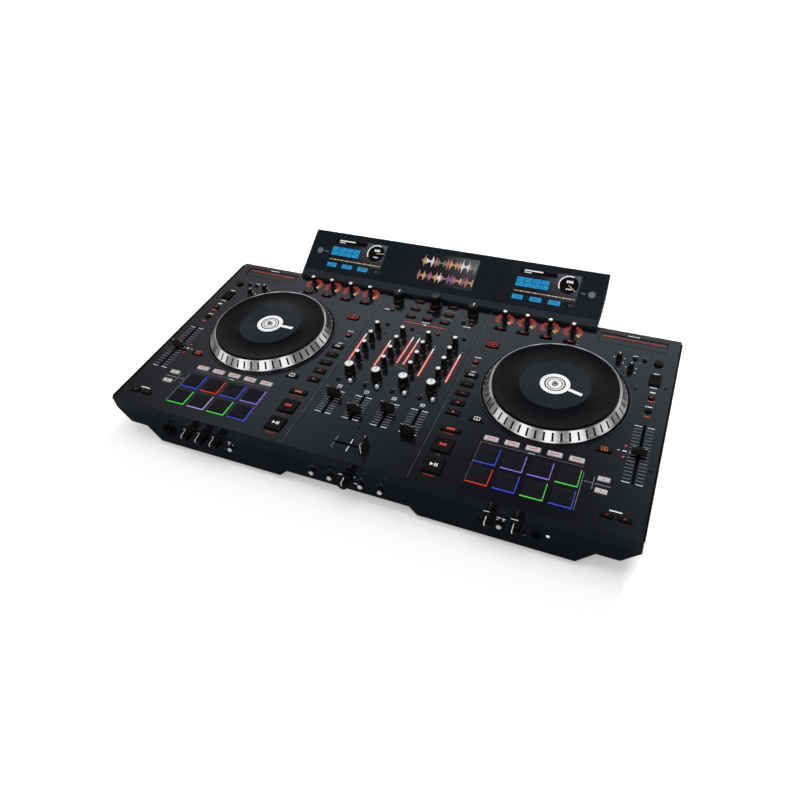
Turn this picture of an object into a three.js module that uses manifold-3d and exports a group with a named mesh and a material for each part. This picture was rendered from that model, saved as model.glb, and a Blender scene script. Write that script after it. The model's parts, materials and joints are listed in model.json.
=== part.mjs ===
// A four-channel controller for playing records from a computer: two motor-driven platters with records,
// a mixer between them, and a tilted display behind.
// Millimetres, +Z up, +X to the player's right, +Y away from the player.
// The origin is under the middle of the whole object, on the surface that the feet stand on.
import * as THREE from "three";
import { mergeVertices } from "three/addons/utils/BufferGeometryUtils.js";
import Module from "manifold-3d";

const wasm = await Module();
wasm.setup();

// Clearances, shared by every piece
const overrun = 1; // how far a cutting solid runs past the face that it cuts
const seatGap = 0.3; // between pieces that rest on each other
const runGap = 0.4; // round a piece that moves

// Shell: the top plates carry a lip, the tray below them carries the fascia and the feet
const shell = {
  sheet: 3, // thickness of the top plates
  wall: 2.5, // thickness of the lips and of the tray
  lipDrop: 23, // the lip hangs this far below the top face
  lipFlare: 2.5, // and leans out by this much at the sides
  lipSetback: 3, // but in by this much at the front
  seam: 0.4, // gap between neighbouring plates
  shoulderInset: 21.5, // the tray's sides lean in below the lip
  shoulderDrop: 21.5,
  shoulderFlat: 28, // then run level
  podRun: 22, // and slope down to the pods that hold the motors
  podDrop: 22.5,
  archRun: 12, // between the pods the floor is higher
  archRise: 11.5,
  archMargin: 13.7, // the pods start this far outside the mixer
  kick: 3, // the fascia's foot stands this far out
};
const foot = { radius: 13, height: 9, sides: 12, frontInset: 34, rearInset: 40, outset: 58 };

// Platter, record and motor: the slotted ring is as wide as the record needs
const record = { radius: 86.8, thickness: 2.6, edge: 0.5, sides: 40 };
const platter = {
  recordGap: 1.5, // between the record and the ring's inner edge
  skirtTop: 2.3, // top of its upright skirt, above the plate
  skirtFoot: 4, // bottom of the skirt, below the plate
  rimInset: 9.5, // the ring's cone leans in by this much
  rimTop: 15.2, // up to this height
  rimWidth: 1.2,
  bedTop: 13.2, // the surface that the record lies on
  bedThickness: 3,
  skirtWall: 4,
  hubRadius: 14,
  hubDrop: 5, // the hub reaches this far below the plate
  spindleRadius: 3.6,
  spindleTop: 19.5,
  spindleCrown: 1.2,
  slots: 60, // slots round the cone, one on each of its facets
  slotWidth: 1.5,
  slotDepth: 1.6,
  slotShare: 0.74, // of the cone's slant
  hubSides: 12,
};
const platterRadius = record.radius + platter.recordGap + platter.rimWidth + platter.rimInset;
const well = { gap: 2.3, rimWidth: 3.2, rimHeight: 0.8, sides: 40 };
const motor = {
  radius: 46,
  height: 26,
  bossRadius: 20,
  bossHeight: 4,
  flangeRadius: 66,
  flangeThickness: 3,
  postRadius: 5,
  postCircle: 58,
  posts: 4,
  postSides: 8,
  shaftRadius: 3,
  shaftRise: 8,
  shaftSides: 8,
  sides: 16,
};
const wellRadius = platterRadius + well.gap;

// Mixer, counted from the player's edge
const mixer = {
  channels: 4,
  channelPitch: 42.9,
  margin: 4.5,
  crossfaderY: 28.4,
  crossfaderSlot: 46,
  faderStart: 69.9, // front end of the channel faders' slots
  faderSlot: 53,
  assignGap: 19, // from the slots' far end to the row of assign switches
  assignOffset: 9.8, // a round key and an assign switch lie on either side of each channel
  filterGap: 20.5, // from the assign row to the filter knobs
  eqGap: 29, // from the filter knobs to the nearest tone knobs
  eqPitch: 24.6,
  eqRows: 4,
  cueGap: 14, // at least this from the farthest tone knobs to the cue keys
  cueOffset: 7.4,
  browseGap: 30, // from the cue keys to the first row of browse keys
  browsePitchX: 29,
  browsePitchY: 20.8,
  browseRows: 3,
  levelX: 64.5,
  levelLead: 5.7, // the level knobs stand this far in front of the last browse row
  browseLead: 2.2,
  boostLift: 8, // small keys in front of the level knobs
  boostPitch: 13.4,
  rearMargin: 19.2,
};
const mixerHalf = (mixer.channels / 2) * mixer.channelPitch + mixer.margin;
const assignY = mixer.faderStart + mixer.faderSlot + mixer.assignGap;
const filterY = assignY + mixer.filterGap;
const eqFirstY = filterY + mixer.eqGap;
const eqLastY = eqFirstY + (mixer.eqRows - 1) * mixer.eqPitch;
const browseRun = (mixer.browseRows - 1) * mixer.browsePitchY;
const mixerDepth = eqLastY + mixer.cueGap + mixer.browseGap + browseRun + mixer.rearMargin;

// Pads and keys in front of the platter
const pad = { size: 28, rise: 1.2, pitch: 34.6, columns: 4, rows: 2, frontMargin: 20.5 };
const padY = pad.frontMargin + pad.size / 2;
const modeKey = { width: 19, depth: 8, rise: 1.2, pitch: 28, count: 5, gap: 12.2 };

const modeY = padY + (pad.rows - 1) * pad.pitch + pad.size / 2 + modeKey.gap + modeKey.depth / 2;

// Columns and rows round each platter
const deck = {
  innerColumn: 36.7, // between the mixer and the platter's well
  outerColumn: 50, // between the well and the outer edge
  modeToWell: 11.2, // from the mode keys to the well
  fxKeyGap: 14, // from the well to the effect keys
  fxRow: 25, // from the effect keys to the effect knobs
  fxRearMargin: 23.8,
  fxPitch: 35.8,
  fxCount: 4,
};
const platterX = mixerHalf + deck.innerColumn + wellRadius;
const platterY = modeY + deck.modeToWell + wellRadius;
const halfWidth = platterX + wellRadius + deck.outerColumn;
const fxKeyY = platterY + wellRadius + deck.fxKeyGap;
const fxKnobY = fxKeyY + deck.fxRow;
const depth = Math.max(fxKnobY + deck.fxRearMargin, mixerDepth);
const browseLastY = depth - mixer.rearMargin; // the mixer's rear rows are counted from the rear edge
const browseY = browseLastY - browseRun;
const cueY = browseY - mixer.browseGap;
const innerX = mixerHalf + deck.innerColumn / 2; // middle of the column beside the mixer
const outerX = platterX + wellRadius + deck.outerColumn / 2; // middle of the column at the outer edge

// Keys: each kind's width, depth and rise above the plate
const keyTop = 2;
const playKey = { width: 25, depth: 25, corner: 3, rise: 2.6, frontMargin: 31.5, offset: 8 };
const cueKey = { width: 25, depth: 25, corner: 3, rise: 2.6, gap: 11.4 };
const syncKey = { width: 27, depth: 8, rise: keyTop, gap: 13.6 };
const loopKey = { width: 18, depth: 9, rise: keyTop, pitch: 20, count: 5, drop: 2.2 };
const fxKey = { width: 17, depth: 6, rise: keyTop };
const browseKey = { width: 16, depth: 6, rise: keyTop };
const parameterKey = { width: 15, depth: 7, rise: 1.2, count: 2, pitch: 19.4, gap: 20, lift: 12.7 };
const bendKey = { width: 14, depth: 6, rise: keyTop, count: 2, pitch: 20.6, frontMargin: 25.8, lead: 9.6 };
const layerKey = { width: 20, depth: 8, rise: keyTop, gap: 18.4, slant: 7 }; // its end follows the well
const takeKey = { radius: 5, rise: keyTop, lift: 28.5, offset: -3.6 };
const linkKey = { width: 19, depth: 12, rise: 1.6, lift: 73, offset: 8.3 };
const reverseKey = { radius: 6.2, rise: 3, lift: 103 };
const motorKey = { width: 15, depth: 22, rise: 2.4, lift: 66 };
const lockKey = { radius: 4.6, rise: 2.4, lift: 29.5 };
const rangeKey = { radius: 4.6, rise: 2.4, lift: 3.5 };
const timeKey = { radius: 3.2, rise: 2, count: 2, pitch: 13.7, start: -33, lift: 105 };
const mixerRound = { radius: 3.3, rise: 1.6 };
const roundSides = 8;
const keySheet = {
  thickness: 2, // a sheet carries the keys from below
  sideMargin: 11, // from the plate's outer edge
  innerMargin: 7.5, // from the mixer
  frontMargin: 13,
  rearMargin: 8, // past the effect keys
  wellMargin: 4.7,
  padMargin: 3,
  stripWidth: 8, // of the mixer sheet's two arms
  shaftMargin: 1.4,
};
const padSheet = { thickness: 2, margin: 3.4 };

// Faders
const pitch = { slot: 104.7, width: 3, frontMargin: 82 };
const pitchY = pitch.frontMargin + pitch.slot / 2;
const channelFader = { width: 3 };
const cap = {
  width: 19.6, // across the travel
  length: 8.4, // along the travel: the cap is a thin fin
  mixerHeight: 16,
  pitchHeight: 10.9,
  dish: 1.6, // the crest is hollowed by this much between its ends
  lift: 0.6, // its foot stands this far above the plate
  crestShare: 0.38, // thickness of the crest as a share of the foot's
  endShare: 0.95, // and its width
  stemWidth: 2,
  stemLength: 5,
  stemDrop: 9,
  steps: 6,
};
const faderEnd = cap.stemLength / 2 + runGap; // the stem stops this far from the slot's end

// Knobs
const toneKnob = {
  skirt: 5.8,
  skirtHeight: 1.8,
  foot: 4.5,
  top: 4,
  height: 18.6,
  crown: 0.9,
  sides: 8,
  fluteShare: 0,
};
const fxKnob = {
  skirt: 4.2,
  skirtHeight: 1.2,
  foot: 3.5,
  top: 3.3,
  height: 15,
  crown: 0.8,
  sides: 8,
  fluteShare: 0,
};
const filterKnob = {
  skirt: 9,
  skirtHeight: 2,
  foot: 7.6,
  top: 7,
  height: 17.2,
  crown: 1,
  sides: 12,
  fluteShare: 0.05,
  pointer: true,
};
const levelKnob = {
  skirt: 9.4,
  skirtHeight: 2.2,
  foot: 8.6,
  top: 8,
  height: 16.5,
  crown: 1,
  sides: 12,
  fluteShare: 0.05,
  pointer: true,
};
const browseKnob = {
  skirt: 10.4,
  skirtHeight: 3.4,
  foot: 8,
  top: 7.8,
  height: 20.3,
  crown: 1,
  sides: 12,
  fluteShare: 0.05,
};
const timeKnob = {
  skirt: 4.6,
  skirtHeight: 1.2,
  foot: 3.8,
  top: 3.6,
  height: 11,
  crown: 0.6,
  sides: 8,
  gap: 19.6, // from the well's edge
  degrees: [53.6, 41.5], // round the platter, from the outer side
};
const assignSwitch = { radius: 2.6, rise: 5 };
const frontKnob = {
  skirt: 7.6,
  skirtHeight: 1.4,
  foot: 7,
  top: 6.2,
  height: 15,
  crown: 0.8,
  sides: 10,
  fluteShare: 0,
  pointer: true,
};
const shaft = { radius: 2.4, drop: 11, sides: 6 };
const contour = { stand: 1.5, shaftLength: 14 }; // the cross-fader curve knob on the fascia
const shaftHole = (shaft.radius + runGap) / Math.cos(Math.PI / shaft.sides);
const pointer = { width: 1.2, proud: 0.7 };

// Front sockets and controls, placed as shares of the half width
const frontShares = {
  microphone: -0.7625,
  leftKnobs: [-0.667, -0.603, -0.5385],
  rightKnobs: [0.5265, 0.6185],
  phones: 0.686,
  contour: 0.01,
  switches: [-0.475, -0.1285, -0.0565, 0.0645, 0.1395, 0.565],
};
const front = { knobZ: 34.5, socketZ: 41, switchRadius: 3.4, switchProud: 6.5, switchZ: 39.5 };
const jack = { radius: 12.6, bore: 9.6, depth: 17, proud: 1.2, sides: 16 };
const phoneJack = { radius: 6.6, bore: 3.4, depth: 17, proud: 1.2, sides: 12 };
const frontBoard = { setback: 22, thickness: 1.6, height: 22, margin: 16 };

// Rear sockets, as seen on such controllers: two balanced outputs, four pairs of phono sockets,
// two data sockets and a mains inlet
const rear = { boardInset: 15, boardThickness: 1.6, socketZ: 41, boardHeight: 22, proud: 1.2 };
const output = { radius: 11.5, bore: 9.4, depth: 13, pitch: 32, count: 2, startShare: -0.76, sides: 16 };
const phono = { radius: 4.2, length: 9, pitch: 17, rise: 10, columns: 4, startShare: -0.5, sides: 8 };
const dataSocket = { width: 13, height: 12, bore: 8.4, depth: 9, pitch: 24, count: 2, startShare: 0.335 };
const inlet = { width: 30, height: 22, boreWidth: 24, boreHeight: 16, depth: 13, share: 0.7 };

// Power supply and main board
const supply = {
  width: 90,
  height: 26,
  offset: 28, // from the inlet towards the middle
  vents: 7,
  ventWidth: 3,
  ventShare: 0.6,
  ventDepth: 8,
  gap: 12, // behind the motor's flange
};
const board = { thickness: 1.6, potRadius: 5.2, potHeight: 4, trackWidth: 7, postRadius: 4, potSides: 4 };
const boardInset = { front: 14, rear: 12, side: 5, post: 30 };

// Display: a wedge behind the plates with three screens in its tilted face
const display = {
  tilt: THREE.MathUtils.degToRad(30),
  setback: 10, // the face starts this far in front of the plates' rear edge
  lift: 6.6, // and this high above them
  slant: 90.2,
  screenWidth: 99.5,
  screenHeight: 56.5,
  screenCentre: 50.7, // up the face
  screenPitch: 166,
  sideMargin: 41,
  chin: 12, // bare strip below the front panel
  frame: 1.6,
  panel: 2.4,
  edge: 6, // thickness at the top edge
  belly: 26, // thickness where the wedge is deepest
  bellyShare: 0.66, // of the slant
  neckRear: 25, // behind the plates' rear edge
  neckDrop: 22,
  neckInset: 62, // the neck is narrower than the face by this on each side
  pocket: 9,
  ledge: 4,
  buttonRadius: 5.6,
  buttonInset: 19.7,
  buttonRise: 0.8,
  buttonSides: 10,
  lcdDrop: 0.5, // the screens lie this far below the panel's face
  boardThickness: 2,
};
const displayHalf = display.screenPitch + display.screenWidth / 2 + display.sideMargin;

// Touch strips at the outer rear corners
const strip = { length: 97, width: 22, depth: 0.8, edge: 18, rear: 21.5 };

const bodyDrop = shell.lipDrop + shell.shoulderDrop + shell.podDrop;
const standHeight = bodyDrop + foot.height;

// Finishes
function finish(color, roughness, metalness) {
  return new THREE.MeshStandardMaterial({ color, roughness, metalness });
}
const charcoal = finish(0x2b2e33, 0.62, 0);
const darkShell = finish(0x1d1f23, 0.6, 0);
const blackGloss = finish(0x0c0c0e, 0.3, 0);
const rubberBlack = finish(0x151618, 0.8, 0);
const vinyl = finish(0x101012, 0.28, 0);
const silver = finish(0xc9cbcf, 0.3, 0.9);
const steel = finish(0x8d9094, 0.4, 0.8);
const screenBlue = finish(0x2f8fd0, 0.2, 0);
const boardGreen = finish(0x1f5a3a, 0.6, 0);
const keyDark = finish(0x202226, 0.5, 0);

// A closed geometry as a solid that can be joined and cut
function solid(geometry) {
  const loose = geometry.index ? geometry.toNonIndexed() : geometry;
  const bare = new THREE.BufferGeometry();
  bare.setAttribute("position", loose.getAttribute("position"));
  const merged = mergeVertices(bare);
  const kept = [];
  const index = merged.index.array;
  for (let i = 0; i < index.length; i += 3) {
    const [a, b, c] = [index[i], index[i + 1], index[i + 2]];
    const flat = a === b || b === c || c === a;
    if (!flat) kept.push(a, b, c);
  }
  return new wasm.Manifold(
    new wasm.Mesh({
      numProp: 3,
      vertProperties: merged.attributes.position.array,
      triVerts: new Uint32Array(kept),
    }),
  );
}

function join(solids) {
  return solids.reduce((sum, next) => sum.add(next));
}

// A block centred on x and y, standing on z
function block(width, length, height, x, y, z) {
  return solid(new THREE.BoxGeometry(width, length, height).translate(x, y, z + height / 2));
}

// An upright post standing on z
function post(radius, height, x, y, z, sides) {
  const geometry = new THREE.CylinderGeometry(radius, radius, height, sides);
  return solid(geometry.rotateX(Math.PI / 2).translate(x, y, z + height / 2));
}

// A level post along Y, from its front end at y
function rod(radius, length, x, y, z, sides) {
  const geometry = new THREE.CylinderGeometry(radius, radius, length, sides);
  return solid(geometry.translate(x, y + length / 2, z));
}

// A revolved profile of [radius, height] points, from the axis round and back to the axis
function turned(profile, sides) {
  const points = profile.map(([radius, height]) => new THREE.Vector2(radius, height));
  return new THREE.LatheGeometry(points, sides).rotateX(Math.PI / 2);
}

function shapeOf(points) {
  return new THREE.Shape(points.map(([a, b]) => new THREE.Vector2(a, b)));
}

// A profile of [x, z] points run along Y
function alongY(points, from, to) {
  const geometry = new THREE.ExtrudeGeometry(shapeOf(points), { depth: to - from, bevelEnabled: false });
  return solid(geometry.rotateX(Math.PI / 2).translate(0, to, 0));
}

// A profile of [y, z] points run along X
function alongX(points, from, to) {
  const geometry = new THREE.ExtrudeGeometry(shapeOf(points), { depth: to - from, bevelEnabled: false });
  const turn = new THREE.Matrix4().makeBasis(
    new THREE.Vector3(0, 1, 0),
    new THREE.Vector3(0, 0, 1),
    new THREE.Vector3(1, 0, 0),
  );
  return solid(geometry.applyMatrix4(turn).translate(from, 0, 0));
}

// An upright key with its corners cut off, standing on z
function keyPost(width, length, corner, height, x, y, z) {
  const [a, b] = [width / 2, length / 2];
  const outline = [
    [a - corner, -b],
    [a, corner - b],
    [a, b - corner],
    [a - corner, b],
    [corner - a, b],
    [-a, b - corner],
    [-a, corner - b],
    [corner - a, -b],
  ];
  const geometry = new THREE.ExtrudeGeometry(shapeOf(outline), { depth: height, bevelEnabled: false });
  return solid(geometry.translate(x, y, z));
}

// A slab whose lower face differs from its upper one, as a lip that leans
function leaning(upper, lower, top, bottom) {
  const geometry = new THREE.BoxGeometry(1, 1, 1);
  const place = geometry.getAttribute("position");
  for (let i = 0; i < place.count; i++) {
    const face = place.getZ(i) > 0 ? upper : lower;
    const x = place.getX(i) > 0 ? face.right : face.left;
    const y = place.getY(i) > 0 ? face.rear : face.front;
    place.setXYZ(i, x, y, place.getZ(i) > 0 ? top : bottom);
  }
  return solid(geometry);
}

function meshOf(name, made, material) {
  const parts = made.getMesh();
  const geometry = new THREE.BufferGeometry();
  geometry.setAttribute("position", new THREE.BufferAttribute(parts.vertProperties, parts.numProp));
  geometry.setIndex(new THREE.BufferAttribute(parts.triVerts, 1));
  const mesh = new THREE.Mesh(geometry, material);
  mesh.name = name;
  return mesh;
}

// The group's own axes start at the middle of the plates' front edge, on their top face
const controller = new THREE.Group();
function add(name, made, material, parent = controller) {
  const mesh = meshOf(name, made, material);
  parent.add(mesh);
  return mesh;
}

// Places that plates, keys and knobs share, on the right-hand deck
const padX = (column) => platterX + (column - (pad.columns - 1) / 2) * pad.pitch;
const fxX = (place) => innerX + playKey.offset + place * deck.fxPitch;
const channelX = (channel) => (channel - (mixer.channels - 1) / 2) * mixer.channelPitch;
const keyHole = runGap;

// Every key of the right-hand deck: the plate's holes and the key sheet both follow this list
function deckKeys() {
  const keys = [];
  const put = (kind, x, y) => keys.push({ ...kind, x, y });
  const playX = innerX + playKey.offset;
  const cueKeyY = playKey.frontMargin + playKey.depth / 2 + cueKey.gap + cueKey.depth / 2;
  put(playKey, playX, playKey.frontMargin);
  put(cueKey, playX, cueKeyY);
  put(syncKey, playX, cueKeyY + cueKey.depth / 2 + syncKey.gap + syncKey.depth / 2);
  for (let i = 0; i < loopKey.count; i++) {
    put(loopKey, innerX, platterY - loopKey.drop - i * loopKey.pitch);
  }
  for (let i = 0; i < deck.fxCount; i++) {
    put(fxKey, fxX(i), fxKeyY);
  }
  for (let i = 0; i < modeKey.count; i++) {
    put(modeKey, platterX + (i - (modeKey.count - 1) / 2) * modeKey.pitch, modeY);
  }
  const reach = (wellRadius + layerKey.gap) * Math.SQRT1_2;
  put({ ...layerKey, side: 1 }, platterX - reach, platterY - reach);
  put({ ...layerKey, side: -1 }, platterX + reach, platterY - reach);
  const parameterX = padX(pad.columns - 1) + pad.size / 2 + parameterKey.gap + parameterKey.width / 2;
  const parameterY = padY + pad.pitch + parameterKey.lift - parameterKey.depth / 2;
  for (let i = 0; i < parameterKey.count; i++) {
    put(parameterKey, parameterX, parameterY - i * parameterKey.pitch);
  }
  for (let i = 0; i < bendKey.count; i++) {
    const along = (i - (bendKey.count - 1) / 2) * bendKey.pitch;
    put(bendKey, outerX - bendKey.lead + along, bendKey.frontMargin);
  }
  put(takeKey, innerX + takeKey.offset, platterY + takeKey.lift);
  put(linkKey, innerX + linkKey.offset, platterY + linkKey.lift);
  for (const kind of [reverseKey, motorKey, lockKey, rangeKey]) {
    put(kind, outerX, platterY + kind.lift);
  }
  for (let i = 0; i < timeKey.count; i++) {
    put(timeKey, outerX + timeKey.start + i * timeKey.pitch, platterY + timeKey.lift);
  }
  return keys;
}

// Every key of the mixer
function mixerKeys() {
  const keys = [];
  const put = (kind, x, y) => keys.push({ ...kind, x, y });
  for (let row = 0; row < mixer.browseRows; row++) {
    for (const column of [-1, 0, 1]) {
      const knobStandsHere = column === 0 && row === mixer.browseRows - 1;
      if (knobStandsHere) continue;
      put(browseKey, column * mixer.browsePitchX, browseY + row * mixer.browsePitchY);
    }
  }
  for (let channel = 0; channel < mixer.channels; channel++) {
    put(mixerRound, channelX(channel) + mixer.cueOffset, cueY);
    put(mixerRound, channelX(channel) - mixer.assignOffset, assignY);
  }
  const boostY = browseY + mixer.boostLift;
  put(mixerRound, -mixer.levelX, boostY);
  for (const side of [-1, 1]) {
    put(mixerRound, mixer.levelX + (side * mixer.boostPitch) / 2, boostY);
  }
  return keys;
}

// A key with one slanted end: grown by the same clearance on every side
function slantedPost(key, grow, height, z) {
  const slope = key.slant / key.depth;
  const square = -key.width / 2 - grow;
  const slanted = key.width / 2 + grow * Math.hypot(1, slope);
  const half = key.depth / 2 + grow;
  const outline = [
    [square, -half],
    [slanted + slope * grow, -half],
    [slanted - slope * (key.depth + grow), half],
    [square, half],
  ].map(([x, y]) => [key.side * x, y]);
  if (key.side < 0) outline.reverse();
  const geometry = new THREE.ExtrudeGeometry(shapeOf(outline), { depth: height, bevelEnabled: false });
  return solid(geometry.translate(key.x, key.y, z));
}

// A key, or its hole in a plate when grown by a clearance
function keyCutter(key, grow, height, z) {
  if (key.radius) return post(key.radius + grow, height, key.x, key.y, z, roundSides);
  if (key.slant) return slantedPost(key, grow, height, z);
  const [width, length] = [key.width + 2 * grow, key.depth + 2 * grow];
  if (key.corner) return keyPost(width, length, key.corner, height, key.x, key.y, z);
  return block(width, length, height, key.x, key.y, z);
}

// Cuts through a top plate, from below its sheet to above it
const throughHeight = shell.sheet + 2 * overrun;
const throughZ = -shell.sheet - overrun;
function throughKey(key) {
  return keyCutter(key, keyHole, throughHeight, throughZ);
}
function throughRound(radius, x, y, sides) {
  return post(radius, throughHeight, x, y, throughZ, sides);
}
function throughBlock(width, length, x, y) {
  return block(width, length, throughHeight, x, y, throughZ);
}

// A knob revolved round +Z with its shaft, its foot standing runGap above the plate
function knobSolid(kind, shaftDrop) {
  const base = runGap;
  const skirtTop = base + kind.skirtHeight;
  const profile = [
    [0, base],
    [kind.skirt, base],
    [kind.skirt, skirtTop],
    [kind.foot, skirtTop + kind.crown],
    [kind.top, kind.height - kind.crown],
    [kind.top - kind.crown, kind.height],
    [0, kind.height],
  ];
  const geometry = turned(profile, kind.sides);
  const place = geometry.getAttribute("position");
  for (let i = 0; i < place.count; i++) {
    const grooved = Math.floor(i / profile.length) % 2 === 1 && place.getZ(i) > skirtTop;
    const scale = grooved ? 1 - kind.fluteShare : 1;
    place.setXY(i, place.getX(i) * scale, place.getY(i) * scale);
  }
  const stem = post(shaft.radius, shaftDrop + skirtTop, 0, 0, -shaftDrop, shaft.sides);
  const body = solid(geometry).add(stem);
  if (!kind.pointer) return body;
  const reach = kind.foot + pointer.proud;
  const foot = base + kind.skirtHeight / 2;
  return body.add(block(pointer.width, reach, kind.height + pointer.proud / 2 - foot, 0, reach / 2, foot));
}

// A fader cap whose stem goes down through the plate's slot; it travels along Y
function capSolid(height) {
  const top = cap.lift + height;
  const halfEnd = (cap.width * cap.endShare) / 2;
  const halfCrest = (cap.length * cap.crestShare) / 2;
  const face = [
    [-cap.width / 2, cap.lift],
    [cap.width / 2, cap.lift],
  ];
  for (let i = 0; i <= cap.steps; i++) {
    const across = 1 - (2 * i) / cap.steps;
    face.push([halfEnd * across, top - cap.dish * (1 - across * across)]);
  }
  const wedge = [
    [-cap.length / 2, cap.lift],
    [cap.length / 2, cap.lift],
    [halfCrest, top],
    [-halfCrest, top],
  ];
  const body = alongY(face, -cap.length, cap.length).intersect(alongX(wedge, -cap.width, cap.width));
  const stem = block(cap.stemWidth, cap.stemLength, cap.stemDrop + cap.lift + overrun, 0, 0, -cap.stemDrop);
  return body.add(stem);
}

// The tray's outline in [x, z], drawn in by an inset
function trayOutline(inset, top) {
  const shoulderX = halfWidth + shell.lipFlare - shell.shoulderInset;
  const podX = shoulderX - shell.shoulderFlat;
  const floorX = podX - shell.podRun;
  const archX = mixerHalf + shell.archMargin;
  const shoulderZ = -shell.lipDrop - shell.shoulderDrop + inset;
  const floorZ = -bodyDrop + inset;
  const sideX = halfWidth + shell.lipFlare - inset;
  const sideTop = -shell.lipDrop - seatGap;
  const right = [
    ...(top > sideTop ? [[sideX, top]] : []),
    [sideX, sideTop],
    [shoulderX - inset, shoulderZ],
    [podX - inset, shoulderZ],
    [floorX - inset, floorZ],
    [archX + inset, floorZ],
    [archX - shell.archRun + inset, floorZ + shell.archRise],
  ];
  const left = right.map(([x, z]) => [-x, z]).reverse();
  return [...right, ...left];
}

// The fascia leans forward towards its foot
function fasciaY(z) {
  const share = (-z - shell.lipDrop) / (bodyDrop - shell.lipDrop);
  return shell.lipSetback - share * (shell.lipSetback + shell.kick);
}
const contourY = fasciaY(-front.knobZ) - contour.stand; // the plane on which the curve knob turns
function fasciaWedge(inset) {
  const top = overrun;
  const bottom = -bodyDrop - overrun;
  const far = -shell.kick - shell.lipSetback - shell.wall;
  return alongX(
    [
      [far, bottom],
      [fasciaY(bottom) + inset, bottom],
      [fasciaY(top) + inset, top],
      [far, top],
    ],
    -halfWidth - 2 * shell.shoulderInset,
    halfWidth + 2 * shell.shoulderInset,
  );
}

// A volume knob on the fascia, turned to face the player
function fusedFrontKnob(x) {
  const { skirt, skirtHeight, foot, top, height, crown, sides } = frontKnob;
  const profile = [
    [0, -shell.wall],
    [skirt, -shell.wall],
    [skirt, skirtHeight],
    [foot, skirtHeight + crown],
    [top, height - crown],
    [top - crown, height],
    [0, height],
  ];
  const geometry = turned(profile, sides).rotateX(Math.PI / 2);
  return solid(geometry.translate(x, fasciaY(-front.knobZ), -front.knobZ));
}

// The casing's outer form below the plates, and the part of it that lies behind a plane, or in front of one
function casingBody() {
  const form = alongY(trayOutline(0, -shell.lipDrop - seatGap), -shell.kick, depth);
  return form.subtract(fasciaWedge(0));
}
function behindPlane(y) {
  const height = 2 * bodyDrop;
  return block(2 * halfWidth + 2 * shell.shoulderInset, depth, height, 0, y + depth / 2, -height);
}

// The tray runs from the fascia to the rear panel, and stands on four feet
function baseTray() {
  const endGap = shell.wall + seatGap;
  const hollow = alongY(trayOutline(shell.wall, overrun), -shell.kick - overrun, depth + overrun);
  const ends = join([fasciaWedge(endGap), behindPlane(depth - endGap)]);
  const tray = casingBody().subtract(hollow).subtract(ends);
  const feet = [];
  for (const side of [-1, 1]) {
    for (const y of [foot.frontInset, depth - foot.rearInset]) {
      const x = side * (platterX + foot.outset);
      const height = foot.height + shell.wall / 2;
      feet.push(post(foot.radius, height, x, y, -bodyDrop - foot.height, foot.sides));
    }
  }
  return join([tray, ...feet]);
}

// A top plate's shell: its sheet and the lips round its outer edges
function topShell(left, right, leftFlare, rightFlare) {
  const upper = { left, right, front: 0, rear: depth };
  const lower = {
    left: left - leftFlare,
    right: right + rightFlare,
    front: shell.lipSetback,
    rear: depth,
  };
  const wallOf = (flare) => (flare ? shell.wall : -overrun);
  const inside = (face) => ({
    left: face.left + wallOf(leftFlare),
    right: face.right - wallOf(rightFlare),
    front: face.front + shell.wall,
    rear: face.rear - shell.wall,
  });
  const outer = leaning(upper, lower, 0, -shell.lipDrop);
  return outer.subtract(leaning(inside(upper), inside(lower), -shell.sheet, -shell.lipDrop - overrun));
}

function deckPlate() {
  const cuts = [throughRound(wellRadius, platterX, platterY, well.sides)];
  cuts.push(...deckKeys().map(throughKey));
  for (let row = 0; row < pad.rows; row++) {
    for (let column = 0; column < pad.columns; column++) {
      const size = pad.size + 2 * keyHole;
      cuts.push(throughBlock(size, size, padX(column), padY + row * pad.pitch));
    }
  }
  for (let i = 0; i < deck.fxCount; i++) {
    cuts.push(throughRound(shaftHole, fxX(i), fxKnobY, shaft.sides));
  }
  cuts.push(throughBlock(pitch.width, pitch.slot, outerX, pitchY));
  const stripX = halfWidth - strip.edge - strip.length / 2;
  const stripY = depth - strip.rear;
  cuts.push(block(strip.length, strip.width, strip.depth + overrun, stripX, stripY, -strip.depth));
  const rimFoot = -shell.sheet / 2;
  const rimHeight = well.rimHeight - rimFoot;
  const rim = post(wellRadius + well.rimWidth, rimHeight, platterX, platterY, rimFoot, well.sides);
  const plate = topShell(mixerHalf + shell.seam, halfWidth, 0, shell.lipFlare).add(rim);
  const knobs = timeKnobPlaces().map(([x, y]) =>
    solid(turned(timeKnobProfile(), timeKnob.sides).translate(x, y, 0)),
  );
  return join([plate.subtract(join(cuts)), ...knobs]);
}

// The two small knobs for start and stop time stand on the plate
function timeKnobPlaces() {
  const reach = wellRadius + timeKnob.gap;
  return timeKnob.degrees.map((degrees) => {
    const angle = THREE.MathUtils.degToRad(degrees);
    return [platterX + reach * Math.cos(angle), platterY + reach * Math.sin(angle)];
  });
}
function timeKnobProfile() {
  const { skirt, skirtHeight, foot, top, height, crown } = timeKnob;
  return [
    [0, -shell.sheet / 2],
    [skirt, -shell.sheet / 2],
    [skirt, skirtHeight],
    [foot, skirtHeight + crown],
    [top, height - crown],
    [top - crown, height],
    [0, height],
  ];
}

// Keys stand on one sheet under the plate and reach up through its holes
const sheetTop = -shell.sheet - runGap;
function keyCaps(keys) {
  const foot = sheetTop - keySheet.thickness / 2;
  return keys.map((key) => keyCutter(key, 0, key.rise - foot, foot));
}

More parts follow.
